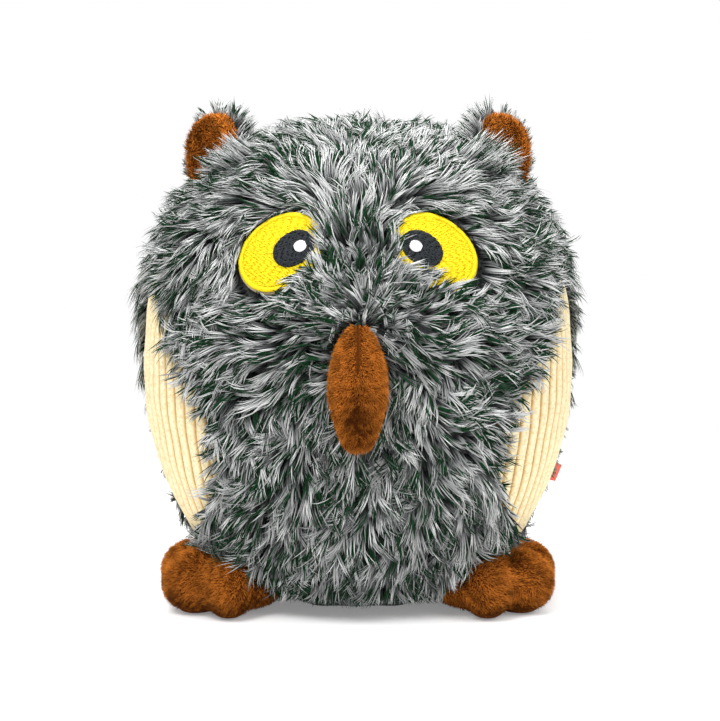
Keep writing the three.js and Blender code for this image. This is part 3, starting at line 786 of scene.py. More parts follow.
# Rows of stitches that fill an oval, each one a raised thread that dips at its ends
def fill_stitches(name, oval, level, angle, side, material):
    grain = flat_axes(angle)
    reach = oval.half.max() + STITCH_LENGTH
    starts = []
    for row in np.arange(-reach, reach, STITCH_PITCH):
        places = np.arange(-reach + rng.random() * STITCH_LENGTH, reach, STITCH_LENGTH)
        starts.append(stack(places, row))
    starts = np.concatenate(starts)
    starts[:, 0] += rng.normal(0, STITCH_SHIFT, len(starts))
    shares = np.linspace(0, 1, STITCH_POINTS)
    lines = starts[:, None] + stack(shares * STITCH_LENGTH * 0.97, 0)[None]
    lines[..., 1] += rng.normal(0, STITCH_SWAY, (len(lines), 1))
    flat = oval.centre + lines @ grain
    inside = oval.level(flat) < 0.99
    keep = inside.any(axis=1)
    flat, inside = flat[keep], inside[keep]
    first_inside = flat[np.arange(len(flat)), inside.argmax(axis=1)]
    flat = np.where(inside[..., None], flat, first_inside[:, None])
    for i in range(1, STITCH_POINTS):
        gone = ~inside[:, i] & inside[:, i - 1]
        flat[gone, i:] = flat[gone, i - 1][:, None]
    ends = np.abs(shares - 0.5) > 0.45
    rise = level + STITCH_RISE * np.sin(np.pi * shares) ** 0.5 - STITCH_DIP * ends
    return thread_piece(name, flat, rise, side, material, 0.56, (0.7, 0.9), STITCH_SHAKE)


# Satin stitches from edge to edge of an oval
def satin_stitches(name, oval, level, angle, side, material):
    grain = flat_axes(angle)
    reach = oval.half.max()
    places = np.linspace(-reach, reach, 201)
    ends = []
    for row in np.arange(-reach, reach, STITCH_PITCH):
        inside = places[oval.level(oval.centre + stack(places, row) @ grain) < 0.97]
        if len(inside) > 1:
            ends.append((inside[0], inside[-1], row))
    start, end, row = (values[:, None] for values in np.array(ends).T)
    shares = np.linspace(0, 1, STITCH_POINTS)
    flat = oval.centre + stack(start * (1 - shares) + end * shares, row) @ grain
    rise = level + SATIN_RISE * np.sin(np.pi * shares) ** 0.6
    return thread_piece(name, flat, rise, side, material, 0.6, (0.8, 0.9))


# Stitches over the edge of an oval
def rim_stitches(name, oval, level, side, material):
    around = np.linspace(0, 2 * np.pi, 2000)
    line = oval.at(around, 1)
    run = np.r_[0, np.cumsum(np.linalg.norm(np.diff(line, axis=0), axis=1))]
    count = int(run[-1] / (STITCH_PITCH * 0.85))
    turns = np.interp(np.arange(count) / count * run[-1], run, around)
    shares = np.linspace(0, 1, 6)
    reach = 1.012 - (RIM_WIDTH / oval.half.mean() + rng.normal(0, 0.006, (count, 1))) * shares
    flat = oval.at(turns[:, None] + 0 * shares, reach)
    rise = level + RIM_RISE * np.sin(np.pi * np.clip(shares * 0.9 + 0.08, 0, 1)) ** 0.6 - RIM_SEAT
    return thread_piece(name, flat, rise, side, material, 0.5, (0.8, 0.8))


def thread_material(name, dark, light):
    look = Look(name, 0.5, specular=0.2)
    variant, along = look.uv("OFBake")
    # Painted shade darkens each thread at its two ends, where it goes into the cloth
    hole_shade = look.ramp(along, [(0, dark), (0.08, light), (0.86, light), (1, dark)])
    scrambled = look.math("FRACT", look.math("MULTIPLY", variant, 57.3))
    look.colour(look.mix(look.math("MULTIPLY", scrambled, 0.2), hole_shade, dark))
    return look.material


def add_eyes():
    felt = cloth_material("felt", (0.62, 0.5, 0.28), (0.83, 0.72, 0.48))
    yellow = thread_material("yellow_thread", (0.5, 0.31, 0.003), (0.9, 0.73, 0.012))
    rim_yellow = thread_material("rim_thread", (0.62, 0.38, 0.002), (0.92, 0.74, 0.014))
    black = thread_material("black_thread", (0.004, 0.005, 0.006), (0.022, 0.026, 0.03))
    white = thread_material("white_thread", (0.6, 0.6, 0.6), (0.9, 0.9, 0.9))
    bed = cloth_material("thread_bed", (0.5, 0.3, 0.003), (0.75, 0.55, 0.004))
    black_bed = cloth_material("pupil_bed", (0.004, 0.004, 0.005), (0.015, 0.016, 0.018))
    whole = Oval(EYE_LENGTH, EYE_WIDTH)
    patch = Oval(EYE_LENGTH + 2 * FELT_MARGIN, EYE_WIDTH + 2 * FELT_MARGIN)
    fill = Oval(EYE_LENGTH - 1.5 * RIM_WIDTH, EYE_WIDTH - 1.5 * RIM_WIDTH)
    pupil = Oval(PUPIL_LENGTH, PUPIL_WIDTH, (-PUPIL_INSET, PUPIL_LIFT))
    shine_centre = (-PUPIL_INSET - HIGHLIGHT_INSET, PUPIL_LIFT + HIGHLIGHT_LIFT)
    shine = Oval(HIGHLIGHT_DIAMETER, HIGHLIGHT_DIAMETER, shine_centre)
    makers = (
        ("felt_patch", domed_disc, (patch, 0, FELT_THICKNESS), felt, "pale_felt", "eye_felt"),
        ("rim_stitches", rim_stitches, (whole, FILL_LEVEL), rim_yellow, "yellow_thread", "eye_rim"),
        ("iris_stitches", fill_stitches, (fill, FILL_LEVEL, IRIS_GRAIN), yellow, "yellow_thread", "eye_iris"),
        ("pupil_stitches", fill_stitches, (pupil, PUPIL_LEVEL, -EYE_TILT), black, "black_thread", "eye_pupil"),
        ("shine_stitches", satin_stitches, (shine, HIGHLIGHT_LEVEL, HIGHLIGHT_GRAIN), white,
         "white_thread", "eye_highlight"),
        ("iris_bed", domed_disc, (whole, FELT_THICKNESS, FILL_LEVEL), bed, "yellow_thread", None),
        ("pupil_bed", domed_disc, (pupil, FILL_LEVEL, PUPIL_LEVEL), black_bed, "black_thread", None),
    )
    for side, word in HALVES:
        for name, maker, facts, material, slot, node in makers:
            bumps = {"bumpiness": FELT_BUMPS} if name == "felt_patch" else {}
            piece = maker(f"{name}_{word}", *facts, side, material, **bumps)
            dress(piece, "body", slot, node and f"{node}_{word}")


# Beak: two halves sewn down the middle, with short pile
BEAK_LENGTH = 40
BEAK_WIDTH = 18.4
BEAK_DEPTH = 13.5
BEAK_ROOT_HEIGHT = WIDEST_HEIGHT + CROWN_RISE * 0.35
BEAK_ROOT_STAND = 3.4
BEAK_LEAN = 20
BEAK_TIP_WIDTH = 8.5
BEAK_TIP_DEPTH = 6
BEAK_TAPER = 1.35
BEAK_TIP_SHARE = 0.9
BEAK_TIP_LEFT_SHARE = 0.35
BEAK_CLOSING_SHARE = 0.97
BEAK_WIDEST_SHARE = 0.55
BEAK_SEAM_SHARE = 0.42  # of its length, where the seam shows between the halves' pile
BEAK_SEAM_SPREAD = 0.13  # radians round the beak
BEAK_SEAM_DEPTH = 0.3
BEAK_SEAM_FRONT_DEPTH = 0.4  # more of it where the seam shows
BEAK_PARTING = 0.75
BEAK_CLOTH = 0.4
BEAK_PILE = 1.7
BEAK_PILE_LEAN = 0.7
BEAK_PILE_SPACING = 0.3
BEAK_OUTSIDE = 0.3  # how far out from the beak's core pile grows
BEAK_SHADE = 6  # over which painted shade at the root fades down the beak
BEAK_ROWS = 48
BEAK_COLUMNS = 40
TIP_SHADE_SHARE = 0.76  # of its length, where the painted shade spot near the tip is
TIP_SHADE_WIDTH = 4.2
TIP_SHADE_LENGTH = 7

BEAK_FORWARD = -float(body_point(0.0, latitude_at(BEAK_ROOT_HEIGHT))[1])
BEAK_PLACE = Place([0, -BEAK_FORWARD - BEAK_ROOT_STAND, BEAK_ROOT_HEIGHT], turned_axes(x=-BEAK_LEAN))


def beak_size(share, widest, tip):
    left = np.clip(1 - share / BEAK_WIDEST_SHARE, 0, 1)
    past = np.clip((share - BEAK_WIDEST_SHARE) / (1 - BEAK_WIDEST_SHARE), 0, 1)
    rounding = np.clip((share - BEAK_TIP_SHARE) / (1 - BEAK_TIP_SHARE), 0, 1)
    rounded = BEAK_TIP_LEFT_SHARE + (1 - BEAK_TIP_LEFT_SHARE) * np.sqrt(1 - rounding ** 2)
    fallen = (widest - (widest - tip) * past ** BEAK_TAPER) * rounded
    return np.where(share < BEAK_WIDEST_SHARE, widest * np.sqrt(1 - left ** 2), fallen)


# Half the width and half the depth of the beak at a share of its length, grown by some distance
def beak_halves(share, grow, least):
    sizes = ((BEAK_WIDTH, BEAK_TIP_WIDTH), (BEAK_DEPTH, BEAK_TIP_DEPTH))
    return (np.maximum(beak_size(share, *size) / 2 + grow, least) for size in sizes)


def beak_points(shares, turns, grow):
    closing = np.sqrt(1 - np.clip((shares - BEAK_CLOSING_SHARE) / 0.03, 0, 1) ** 2)
    width, depth = (half * closing for half in beak_halves(shares, grow, 0.2))
    deep = BEAK_SEAM_DEPTH + BEAK_SEAM_FRONT_DEPTH * (shares < BEAK_SEAM_SHARE)
    seam = np.exp(-((np.abs(turns) - np.pi / 2) / BEAK_SEAM_SPREAD) ** 2) * deep
    return stack(
        (width - seam * 0.3) * np.cos(turns),
        np.maximum(depth - seam, 0.1 * depth) * np.sin(turns),
        -shares * BEAK_LENGTH + grow * (1 - 2 * shares) + 0 * turns,
    )


def brown_plush():
    return plush_material("brown_pile", (0.04, 0.008, 0.001), (0.34, 0.088, 0.008), (0.86, 0.29, 0.042))


def brown_cloth():
    return cloth_material("brown_backing", (0.06, 0.014, 0.001), (0.16, 0.045, 0.003))


def add_beak(pile, cloth):
    shares = np.clip(np.linspace(0, 1, BEAK_ROWS + 1) ** 0.85, 0.004, 0.9998)[:, None]
    turns = np.linspace(-np.pi / 2, np.pi / 2, BEAK_COLUMNS + 1)[None]
    for side, word in HALVES:
        layers = [beak_points(shares, turns, -PILE_STAND - depth) for depth in (0, BEAK_CLOTH)]
        for layer in layers:
            layer[..., 0] = np.maximum(layer[..., 0], 0)
        layers = [mirror(BEAK_PLACE.out(layer), side)[::-side] for layer in layers]
        half = sheet_mesh(f"beak_half_{word}", *layers, cloth)
        dress(half, "beak", "brown_plush", f"beak_panel_{word}")
        points, normals = sample_mesh(half, BEAK_PILE_SPACING)
        local = BEAK_PLACE.into(points)
        core = stack(0, 0, np.clip(local[:, 2], -0.9 * BEAK_LENGTH, 0))
        outside = (BEAK_PLACE.turn(local - core) * normals).sum(-1) > BEAK_OUTSIDE
        high = local[:, 2] > -BEAK_SEAM_SHARE * BEAK_LENGTH
        outside &= ~((np.abs(local[:, 0]) < BEAK_PARTING) & (local[:, 1] < 0) & high)
        points, normals, local = points[outside], normals[outside], local[outside]
        sideways = 0.7 * np.sign(local[:, 0]) + 0.5 * waves(points, 6)
        nap = BEAK_PLACE.turn(stack(sideways, 0, -1))
        paths, radii = short_pile(points, normals, nap, BEAK_PILE, BEAK_PILE_LEAN)
        # Painted shade: a dark spot in the middle near the tip, and darker pile just under the root
        beside = (local[:, 0] / TIP_SHADE_WIDTH) ** 2
        below = ((local[:, 2] + TIP_SHADE_SHARE * BEAK_LENGTH) / TIP_SHADE_LENGTH) ** 2
        root = 1 - np.clip(-local[:, 2] / BEAK_SHADE, 0, 1)
        darkness = pile_darkness(points, 0.7 * np.exp(-beside - below) + 0.3 * root)
        dress(strand_piece(f"beak_pile_{word}", paths, radii, darkness, pile), "beak", "brown_plush")


# Ears: a wall that wraps round the ear's upright axis, open to the front, with a rounded top
EAR_HEIGHT = 24
EAR_CUP = 6
EAR_LINING = 1.5
EAR_BACK = 1.5
EAR_WRAP = 86
EAR_ROUNDNESS = 2.3
EAR_SIDE = 84
EAR_BASE_HEIGHT = WIDEST_HEIGHT + CROWN_RISE * 0.81
EAR_FACING = 28
EAR_LEAN = 10
EAR_SWING = 12
EAR_SEAT = 1.0
EAR_GAP = 0.3
EAR_PILE = 1.8
EAR_PILE_LEAN = 0.5
EAR_PILE_SPACING = 0.3
EAR_TOP_ROUNDNESS = 3  # of the cloth, which is a little lower than the solid
EAR_SOFT_TOP = 3.8  # from the solid's top down to the cloth's
EAR_ROLL = 0.9  # of the lining over the back's edge
EAR_EDGE_SHARE = 0.78  # of the wrap, where the roll starts
EAR_RIM_SHARE = 0.88  # of the height, where the roll starts
EAR_TUCK = 16  # degrees by which the back's edge stays behind the rolled rim
EAR_INSIDE = 0.6  # out from the cup's face, where pile grows
EAR_EDGE_PILE_SHARE = 0.3  # of the way to the edge, past which it grows on both faces
EAR_ROWS = 50
EAR_COLUMNS = 60

EAR_ROOT = body_point(degrees(EAR_SIDE), latitude_at(EAR_BASE_HEIGHT))
EAR_PLACE = Place(EAR_ROOT, turned_axes(y=EAR_LEAN, z=EAR_FACING))
EAR_AXIS = EAR_PLACE.axes[0]


def ear_taper(rise, height, roundness=EAR_TOP_ROUNDNESS):
    return np.sqrt(1 - (np.clip(rise, 0, height) / height) ** roundness)


# How near to the ear's free edge a place is, 0 in the cup and 1 at the edge
def ear_edge(around, rise, height):
    beside = np.clip((np.abs(around) - EAR_EDGE_SHARE) / (1 - EAR_EDGE_SHARE), 0, 1)
    above = np.clip((rise / height - EAR_RIM_SHARE) / (1 - EAR_RIM_SHARE), 0, 1)
    return np.sin(np.maximum(beside, above) * np.pi / 2)


def ear_wall(radius, height, wrap, roll):
    share = 1 - (1 - np.linspace(0, 1, EAR_ROWS + 1)[:, None]) ** 2
    rise = -EAR_CUP + (height * 0.995 + EAR_CUP) * share
    around = np.linspace(-1, 1, EAR_COLUMNS + 1)[None]
    angle = np.pi / 2 + degrees(wrap) * ear_taper(rise, height) * around
    reach = radius + roll * ear_edge(around, rise, height)
    return stack(reach * np.cos(angle), reach * np.sin(angle), rise)


# Places in an ear's own space: distance from its axis, angle round it from the back, and height
def ear_local(points, side):
    local = EAR_PLACE.into(mirror(points, side))
    angle = np.abs(np.degrees(np.arctan2(local[..., 0], local[..., 1])))
    return local, np.hypot(local[..., 0], local[..., 1]), angle


def add_ears(pile, cloth):
    skin = bpy.data.materials["fur_backing"]
    outside = EAR_CUP + EAR_LINING
    height = EAR_HEIGHT - EAR_LINING - EAR_SOFT_TOP
    for side, word in HALVES:
        def settled(radius, height, wrap=EAR_WRAP, roll=0.0):
            points = EAR_PLACE.out(ear_wall(radius, height, wrap, roll))
            angles = (-EAR_SWING, EAR_SWING, 0)
            return mirror(pushed_out(points, EAR_SEAT, EAR_PLACE.origin, EAR_AXIS, angles), side)

        behind = (height - EAR_ROLL, EAR_WRAP - EAR_TUCK)
        layers = [settled(EAR_CUP, height), settled(outside, height, roll=EAR_ROLL)]
        backs = [settled(outside + EAR_GAP, *behind), settled(outside + EAR_GAP + EAR_BACK, *behind)]
        lining = sheet_mesh(f"ear_cup_{word}", *layers[::-side], cloth)
        back = sheet_mesh(f"ear_skin_{word}", *backs[::-side], skin)
        dress(lining, f"ear_{word}", "brown_plush", f"ear_lining_{word}")
        dress(back, f"ear_{word}", "grey_fur", f"ear_back_{word}")
        points, normals = sample_mesh(lining, EAR_PILE_SPACING)
        local, radius, angle = ear_local(points, side)
        around = angle / (EAR_WRAP * np.maximum(ear_taper(local[:, 2], height), 0.05))
        edge = ear_edge(around, local[:, 2], height)
        showing = (radius < EAR_CUP + EAR_INSIDE) | (edge > EAR_EDGE_PILE_SHARE)
        showing &= body_level(points, PILE_OFF_BODY) > 1
        points, normals = points[showing], normals[showing]
        up = np.broadcast_to(mirror(EAR_PLACE.turn(np.array([0, -0.5, 1])), side), points.shape)
        paths, radii = short_pile(points, normals, up, EAR_PILE, EAR_PILE_LEAN)
        # Painted shade: the pile is darker down in the cup than at the rolled edge
        darkness = pile_darkness(points, 0.1 + 0.12 * (1 - edge[showing]))
        dress(strand_piece(f"ear_pile_{word}", paths, radii, darkness, pile), f"ear_{word}", "brown_plush")


# Feet: three toes round an instep, melted together, flat underneath
FOOT_HEIGHT = 21
TOE_LENGTH = 25
TOE_WIDTH = 18.5
FOOT_SIDE = 39.5
FOOT_FORWARD = 20
TOE_REACH = 11
TOE_SPLAY = 58
FOOT_TURN = 58
INSTEP_LENGTH = 40
INSTEP_WIDTH = 40
INSTEP_HEIGHT = 20
FOOT_FLAT = 0.5
FOOT_LIFT = 22
FOOT_SEAT = 1.0
SOLE_THICKNESS = 2
FOOT_GAP = 0.3
FOOT_PILE = 1.8
FOOT_PILE_LEAN = 0.7
FOOT_PILE_SPACING = 0.34
FOOT_PILE_LOW = 0.2  # above the upper's lower edge
FOOT_SHADE_HEIGHT = 9  # up to which painted shade darkens the pile towards the sole
FOOT_VOXEL = 0.9
BALL_STEPS = 32
BALL_ROWS = 20
SOFTEN_SHARE = 0.5

# Fineness and lumps of the soft copies of solids
SOLE_GRAIN = (0.5, 0.1)
FOOT_GRAIN = (1, 0.5)
CORE_GRAIN = (2.5, 0.8)
BEAK_GRAIN = (0.7, 0.2)

TOE_SIZES = (TOE_WIDTH, TOE_LENGTH, FOOT_HEIGHT)
INSTEP_SIZES = (INSTEP_WIDTH, INSTEP_LENGTH, INSTEP_HEIGHT)
FOOT_PLACE = Place([FOOT_SIDE, -FOOT_FORWARD, 0], turned_axes(z=FOOT_TURN))


def underside_height(side, forward):
    plan = (side / (BODY_WIDTH / 2)) ** PLAN_SQUARENESS + (forward / (BODY_DEPTH / 2)) ** PLAN_SQUARENESS
    spread = plan ** (1 / PLAN_SQUARENESS)
    return WIDEST_HEIGHT - BELLY_DROP * (1 - spread ** BELLY_SQUARENESS) ** (1 / BELLY_SQUARENESS)


FOOT_PIVOT = np.array([FOOT_SIDE, -FOOT_FORWARD, underside_height(FOOT_SIDE, FOOT_FORWARD)])
FOOT_AXIS = -FOOT_PLACE.axes[0]


# An egg's points and faces, smaller than its sizes by the pile that stands on it
def ball(sizes):
    half = (np.array(sizes) - 2 * PILE_STAND) / 2
    latitudes = np.linspace(-np.pi / 2, np.pi / 2, BALL_ROWS + 1)[1:-1, None]
    turns = np.linspace(0, 2 * np.pi, BALL_STEPS, endpoint=False)[None]
    flat = np.cos(latitudes)
    rows = stack(half[0] * flat * np.cos(turns), half[1] * flat * np.sin(turns), half[2] * np.sin(latitudes))
    ends = half * np.array([[0, 0, 1]])
    return np.concatenate([-ends, rows.reshape(-1, 3), ends]), capped_faces(BALL_STEPS, BALL_ROWS - 1)


# One closed skin round several overlapping forms
def melted(name, forms, voxel, smoothing, material):
    points, faces, start = [], [], 0
    for form_points, form_faces in forms:
        points.append(form_points)
        faces += [tuple(start + i for i in face) for face in form_faces]
        start += len(form_points)
    rough = add_mesh(name + "_rough", np.concatenate(points), faces, material)
    remesh = rough.modifiers.new("melt", "REMESH")
    remesh.mode = "VOXEL"
    remesh.voxel_size = voxel * MM
    smooth = rough.modifiers.new("soften", "SMOOTH")
    smooth.factor = SOFTEN_SHARE
    smooth.iterations = smoothing
    settled = rough.evaluated_get(bpy.context.evaluated_depsgraph_get())
    data = bpy.data.meshes.new_from_object(settled)
    bpy.data.objects.remove(rough)
    data.name = name
    data.shade_smooth()
    data.materials.clear()
    data.materials.append(material)
    return linked(name, data)


def move_points(piece, change):
    places = change(values_of(piece.data.vertices, "co", 3) / MM) * MM
    piece.data.vertices.foreach_set("co", places.astype(np.float32).ravel())
    piece.data.update()


# A CAD solid's own form, rounded and lumpy, for what lies inside the cloth
def soft_copy(node, name, voxel, lump, material, shrink=0.0):
    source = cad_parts[node]
    data = source.data.copy()
    data.transform(source.matrix_world)
    faces = [tuple(face.vertices) for face in data.polygons]
    piece = melted(name, [(values_of(data.vertices, "co", 3) / MM, faces)], voxel, 3, material)
    outward = values_of(piece.data.vertices, "normal", 3)

    def lumpy(places):
        wave = np.sin(places[:, 0] * 0.9 + 1) * np.sin(places[:, 1] * 0.8 + 2) * np.sin(places[:, 2] * 0.7)
        middle = places.mean(axis=0)
        return places - norm(places - middle) * lump * (0.5 + 0.5 * wave)[:, None] - outward * shrink

    move_points(piece, lumpy)
    return piece


def add_feet(pile, cloth, filling):
    lift = FOOT_HEIGHT / 2 - FOOT_FLAT
    points, faces = ball(TOE_SIZES)
    points = points + np.array([0, -TOE_REACH, lift])
    lobes = [(points @ turned_axes(z=turn), faces) for turn in (-TOE_SPLAY, 0, TOE_SPLAY)]
    points, faces = ball(INSTEP_SIZES)
    lobes.append((points + np.array([0, 0, INSTEP_HEIGHT / 2 - FOOT_FLAT]), faces))
    low = SOLE_THICKNESS + FOOT_GAP

    def settle(places):
        placed = FOOT_PLACE.out(places)
        placed[:, 2] = np.maximum(placed[:, 2], low)
        return pushed_out(placed, FOOT_SEAT, FOOT_PIVOT, FOOT_AXIS, (FOOT_LIFT, FOOT_LIFT / 2, 0))

    for side, word in HALVES:
        body = f"foot_{word}"
        foot = melted(f"foot_form_{word}", lobes, FOOT_VOXEL, 9, cloth)
        move_points(foot, lambda places: mirror(settle(places), side))
        if side < 0:
            foot.data.flip_normals()
        sole = soft_copy(f"foot_sole_{word}", f"foot_bottom_{word}", *SOLE_GRAIN, cloth)
        stuffing = soft_copy(f"foot_filling_{word}", f"foot_stuffing_{word}", *FOOT_GRAIN, filling)
        dress(foot, body, "brown_plush", f"foot_upper_{word}")
        dress(sole, body, "brown_plush", f"foot_sole_{word}")
        dress(stuffing, body, "filling", f"foot_filling_{word}")
        points, normals = sample_mesh(foot, FOOT_PILE_SPACING)
        shown = (body_level(points, FOOT_SEAT + PILE_OFF_BODY) > 1) & (points[:, 2] > low + FOOT_PILE_LOW)
        points, normals = points[shown], normals[shown]
        swirl = waves(points, 9)[:, None] * np.array([0.6, 0.5, 0.2])
        nap = mirror(FOOT_PLACE.turn(np.array([0.2, -1, -0.5])), side) + swirl
        paths, radii = short_pile(points, normals, nap, FOOT_PILE, FOOT_PILE_LEAN)
        # Painted shade: the pile darkens towards the sole, under the toes
        darkness = pile_darkness(points, 0.1 + 0.75 * np.clip(1 - points[:, 2] / FOOT_SHADE_HEIGHT, 0, 1))
        dress(strand_piece(f"foot_pile_{word}", paths, radii, darkness, pile), body, "brown_plush")


# Inside: stuffing and squeaker
def add_inside(filling):
    core = soft_copy("stuffing_core", "body_stuffing", *CORE_GRAIN, filling)
    dress(core, "body", "filling", "stuffing_core")
    beak = soft_copy("beak_filling", "beak_stuffing", *BEAK_GRAIN, filling, PILE_STAND)
    dress(beak, "beak", "filling", "beak_filling")
    look = Look("squeaker_plastic", 0.4, specular=0.5)
    grain = look.noise(3)
    look.colour(look.ramp(grain, [(0.3, (0.74, 0.79, 0.83)), (0.8, (0.84, 0.87, 0.9))]))
    look.bump(grain, 0.05)
    for name in ("squeaker_bulb", "squeaker_reed"):
        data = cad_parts[name].data
        data.materials.clear()
        data.materials.append(look.material)
        data.shade_smooth()


# Base patch: short grey pile under a round of cloth
BASE_LOW = 0.7
BASE_HIGH = 1.95
BASE_UNDER = 1.2  # up to which its underside grows pile
BASE_MARGIN = 0.3
BASE_STEPS = 72
BASE_PILE = 1.2
BASE_PILE_LEAN = 1.6
BASE_PILE_WIDTH = 0.3
BASE_PILE_SCATTER = 0.4
BASE_PILE_SPACING = 0.6
BASE_PILE_LOW = 0.15

# The patch's rings: how far out each one is, and how high it is between the patch's low and high levels
BASE_RING_SHARES = ((0.4, 0.16), (0.9, 0), (0.99, 0.24), (1, 0.64), (0.97, 0.96), (0.4, 1))


def add_base(fur):
    turns = np.linspace(0, 2 * np.pi, BASE_STEPS, endpoint=False)
    inset = -BACKING - BASE_MARGIN
    outline = body_point(turns, latitude_at(0, inset), inset)
    middle = np.array([[0, 0, 1]])
    rings = []
    for reach_share, rise_share in BASE_RING_SHARES:
        ring = outline * reach_share
        ring[:, 2] = BASE_LOW + rise_share * (BASE_HIGH - BASE_LOW)
        rings.append(ring)
    points = np.concatenate([middle * rings[0][0, 2], *rings, middle * BASE_HIGH])
    faces = capped_faces(BASE_STEPS, len(rings))
    patch = add_mesh("base_patch", points, faces, bpy.data.materials["fur_backing"])
    dress(patch, "body", "base_plush", "base_panel")
    points, normals = sample_mesh(patch, BASE_PILE_SPACING)
    under = (normals[:, 2] < -0.5) & (points[:, 2] < BASE_UNDER)
    points, normals = points[under], normals[under]
    nap = np.broadcast_to(np.array([0, 1.0, 0]), points.shape)
    paths, radii = short_pile(
        points, normals, nap, BASE_PILE, BASE_PILE_LEAN, BASE_PILE_WIDTH, BASE_PILE_SCATTER)
    paths[..., 2] = np.maximum(paths[..., 2], BASE_PILE_LOW)
    dress(strand_piece("base_pile", paths, radii, rng.random(len(paths)), fur), "body", "base_plush")


# Seam label: a folded ribbon, bare
LABEL_HEIGHT = WIDEST_HEIGHT / 2
LABEL_WIDTH = 5.5
LABEL_LENGTH = 5.5
LABEL_THICKNESS = 1.2
LABEL_LEAN = 35
LABEL_CLOTH = 0.25
LABEL_SWELL = 0.25
LABEL_STAND = 0.9
LABEL_THREADS = 900  # waves to a metre
LABEL_COLUMNS = 20
LABEL_ROWS = 9
LABEL_BEND_ROWS = 12


def ribbon_material():
    look = Look("coral_ribbon", 0.6, sheen=0.2, specular=0.3)
    weave = look.add("TexWave", Vector=look.place(), Scale=LABEL_THREADS).outputs["Fac"]
    look.colour(look.mix(weave, (0.8, 0.09, 0.05), (0.93, 0.17, 0.1)))
    look.bump(weave, 0.08)
    return look.material


def add_label():
    _, back = seams_at(np.array(LABEL_HEIGHT))
    place = surface_place(float(back), LABEL_HEIGHT, LABEL_STAND)
    place.axes = turned_axes(y=LABEL_LEAN) @ place.axes
    half = LABEL_THICKNESS / 2
    root = LABEL_THICKNESS * math.tan(math.radians(LABEL_LEAN))
    bend = np.linspace(0, np.pi, LABEL_BEND_ROWS + 1)[1:-1]
    side = np.linspace(0, 1, LABEL_ROWS + 1)[:, None]
    length = LABEL_LENGTH - half
    line = np.concatenate([
        np.array([[half, root]]) * (1 - side) + np.array([[half, length]]) * side,
        stack(half * np.cos(bend), length + half * np.sin(bend)),
        np.array([[-half, length]]) * (1 - side) + np.array([[-half, root]]) * side,
    ])
    away, along = line[:, :1], line[:, 1:]
    across = np.linspace(-LABEL_WIDTH / 2, LABEL_WIDTH / 2, LABEL_COLUMNS + 1)[None]
    swell = LABEL_SWELL * np.sin(np.pi * (along / LABEL_LENGTH)) * np.cos(across / LABEL_WIDTH * np.pi)
    layers = []
    for grow in (0, -LABEL_CLOTH):
        x = away * (1 + 2 * grow * (np.abs(away) > 0.1)) + np.sign(away) * swell
        layers.append(place.out(stack(x, across, along + grow * (along > length)))[:, ::-1])
    ribbon = sheet_mesh("ribbon_label", *layers, ribbon_material())
    dress(ribbon, "body", "coral_ribbon", "seam_label")


# Long fur: tufts of flat strands, combed along guides
FUR_LENGTH = 13
FUR_WIDTH = 0.52
TUFT_SPACING = 2.05
TUFT_STRANDS = 8
TUFT_SPREAD = 0.85
STRAND_TAPER_SHARES = np.array([0.8, 1, 1, 0.9, 0.6])
STRAND_STEPS = len(STRAND_TAPER_SHARES)
ROOT_DEPTH = 0.5
ROOT_ELEVATION = 60
TIP_ELEVATION = 14
BEND_POWER = 0.55
CROWN_DROP = 22  # degrees by which the hair lies lower on the crown
SIDE_DROP = 9  # and at the sides
LOW_TRIM_SHARE = 0.42  # by which the hair is shorter low on the back
CROWN_FROM_SHARE = 1.68  # of the widest height
SIDE_FROM = 45
SIDE_REACH = 15
LOW_REACH = 35
BACK_REACH = 20
TONES = 3  # of grey, each with plain and with green tips
GREEN_SHARE = 0.6  # of tufts, and of the strands in them
STRAY_GREEN_SHARE = 0.05
GUIDE_REACH = 7
PIECE_FACES = 190000
SAMPLE_MARGIN = 1.45
FUR_LOW = 2
FUR_CLEAR = 0.8  # between the long hair and a foot
FUR_OVER = 0.3  # more, where it lies over one
FLOOR_CLEAR = 4.5
UNDER_SHARE = 0.45
UNDER_CLEAR = 0.8
BEAK_SHADOW_REACH = np.array([24, 30, 22])  # of the painted shadow round the beak's root
LOW_SHADE_HEIGHT = 115  # under which the hair darkens: painted shade of the light from above, with some darker hair low down
BEAK_TUFT_SPACING = 1.5
BEAK_TUFT_REACH = 15
BEAK_FUR_LENGTH = 8
BEHIND_BEAK_LENGTH = 4.5
BEAK_CLEAR = 1.2  # between the long hair and the beak
BEAK_PRESS = 2  # that the beak presses into the hair behind it
BEAK_ROOT_CLEAR = 2.5
BEAK_TIP_CLEAR = 1
SEAM_FUR_ANGLE = 2.6
SEAM_FUR_LENGTH = 7
SEAM_TUFT_SPACING = 1.5
EAR_TUFT_MIDDLE = np.array([33, -14, 136])
EAR_TUFT_REACH = 6
EAR_TUFT_RISE = 58
EAR_TUFT_LENGTH = 15
EAR_TUFT_SPACING = 1.2
EAR_FUR_LENGTH = 7.6
EAR_FUR_ELEVATION = 36
EYE_OVER_SHARES = {1: 0.45, -1: 0.75}  # of each eye's size, where hair that lies over the eye ends
EYE_BELOW = {1: 38, -1: 44}  # the side that it comes from, in degrees under the inward way
EYE_BELOW_SHARE = 0.55
EYE_UNDER = 3
EYE_OVER = 16
EYE_MARGIN = 2
EYE_RAISE_REACH = 14
EYE_HAIR_STAND = 1.1
EYE_ROOT_SHARE = 1.04
EYE_ROOT_DEPTH = 10
EAR_CLEAR = 1
EAR_EDGE_CLEAR = 4  # degrees
EAR_ROOT_FRONT = 2
EAR_ROOT_DEPTH = 12

# How tufts differ: by how much in waves over the body, the waves' size, and by how much at random
TURN_SPREAD = (degrees(20), 15, degrees(11))
LIFT_SPREAD = (9, 11, 6)
LENGTH_SPREAD_SHARES = (0.14, 9, 0.08)
CURL_SPREAD = (0.6, 12, 0.4)

# How the strands of a tuft differ
STRAND_TURN_SHARE = 0.07
STRAND_LEAST_SHARE = 0.78
STRAND_MORE_SHARE = 0.26
STRAND_LIFT = 5
LEAST_LIFT = 2
STRAND_CURL = 0.12

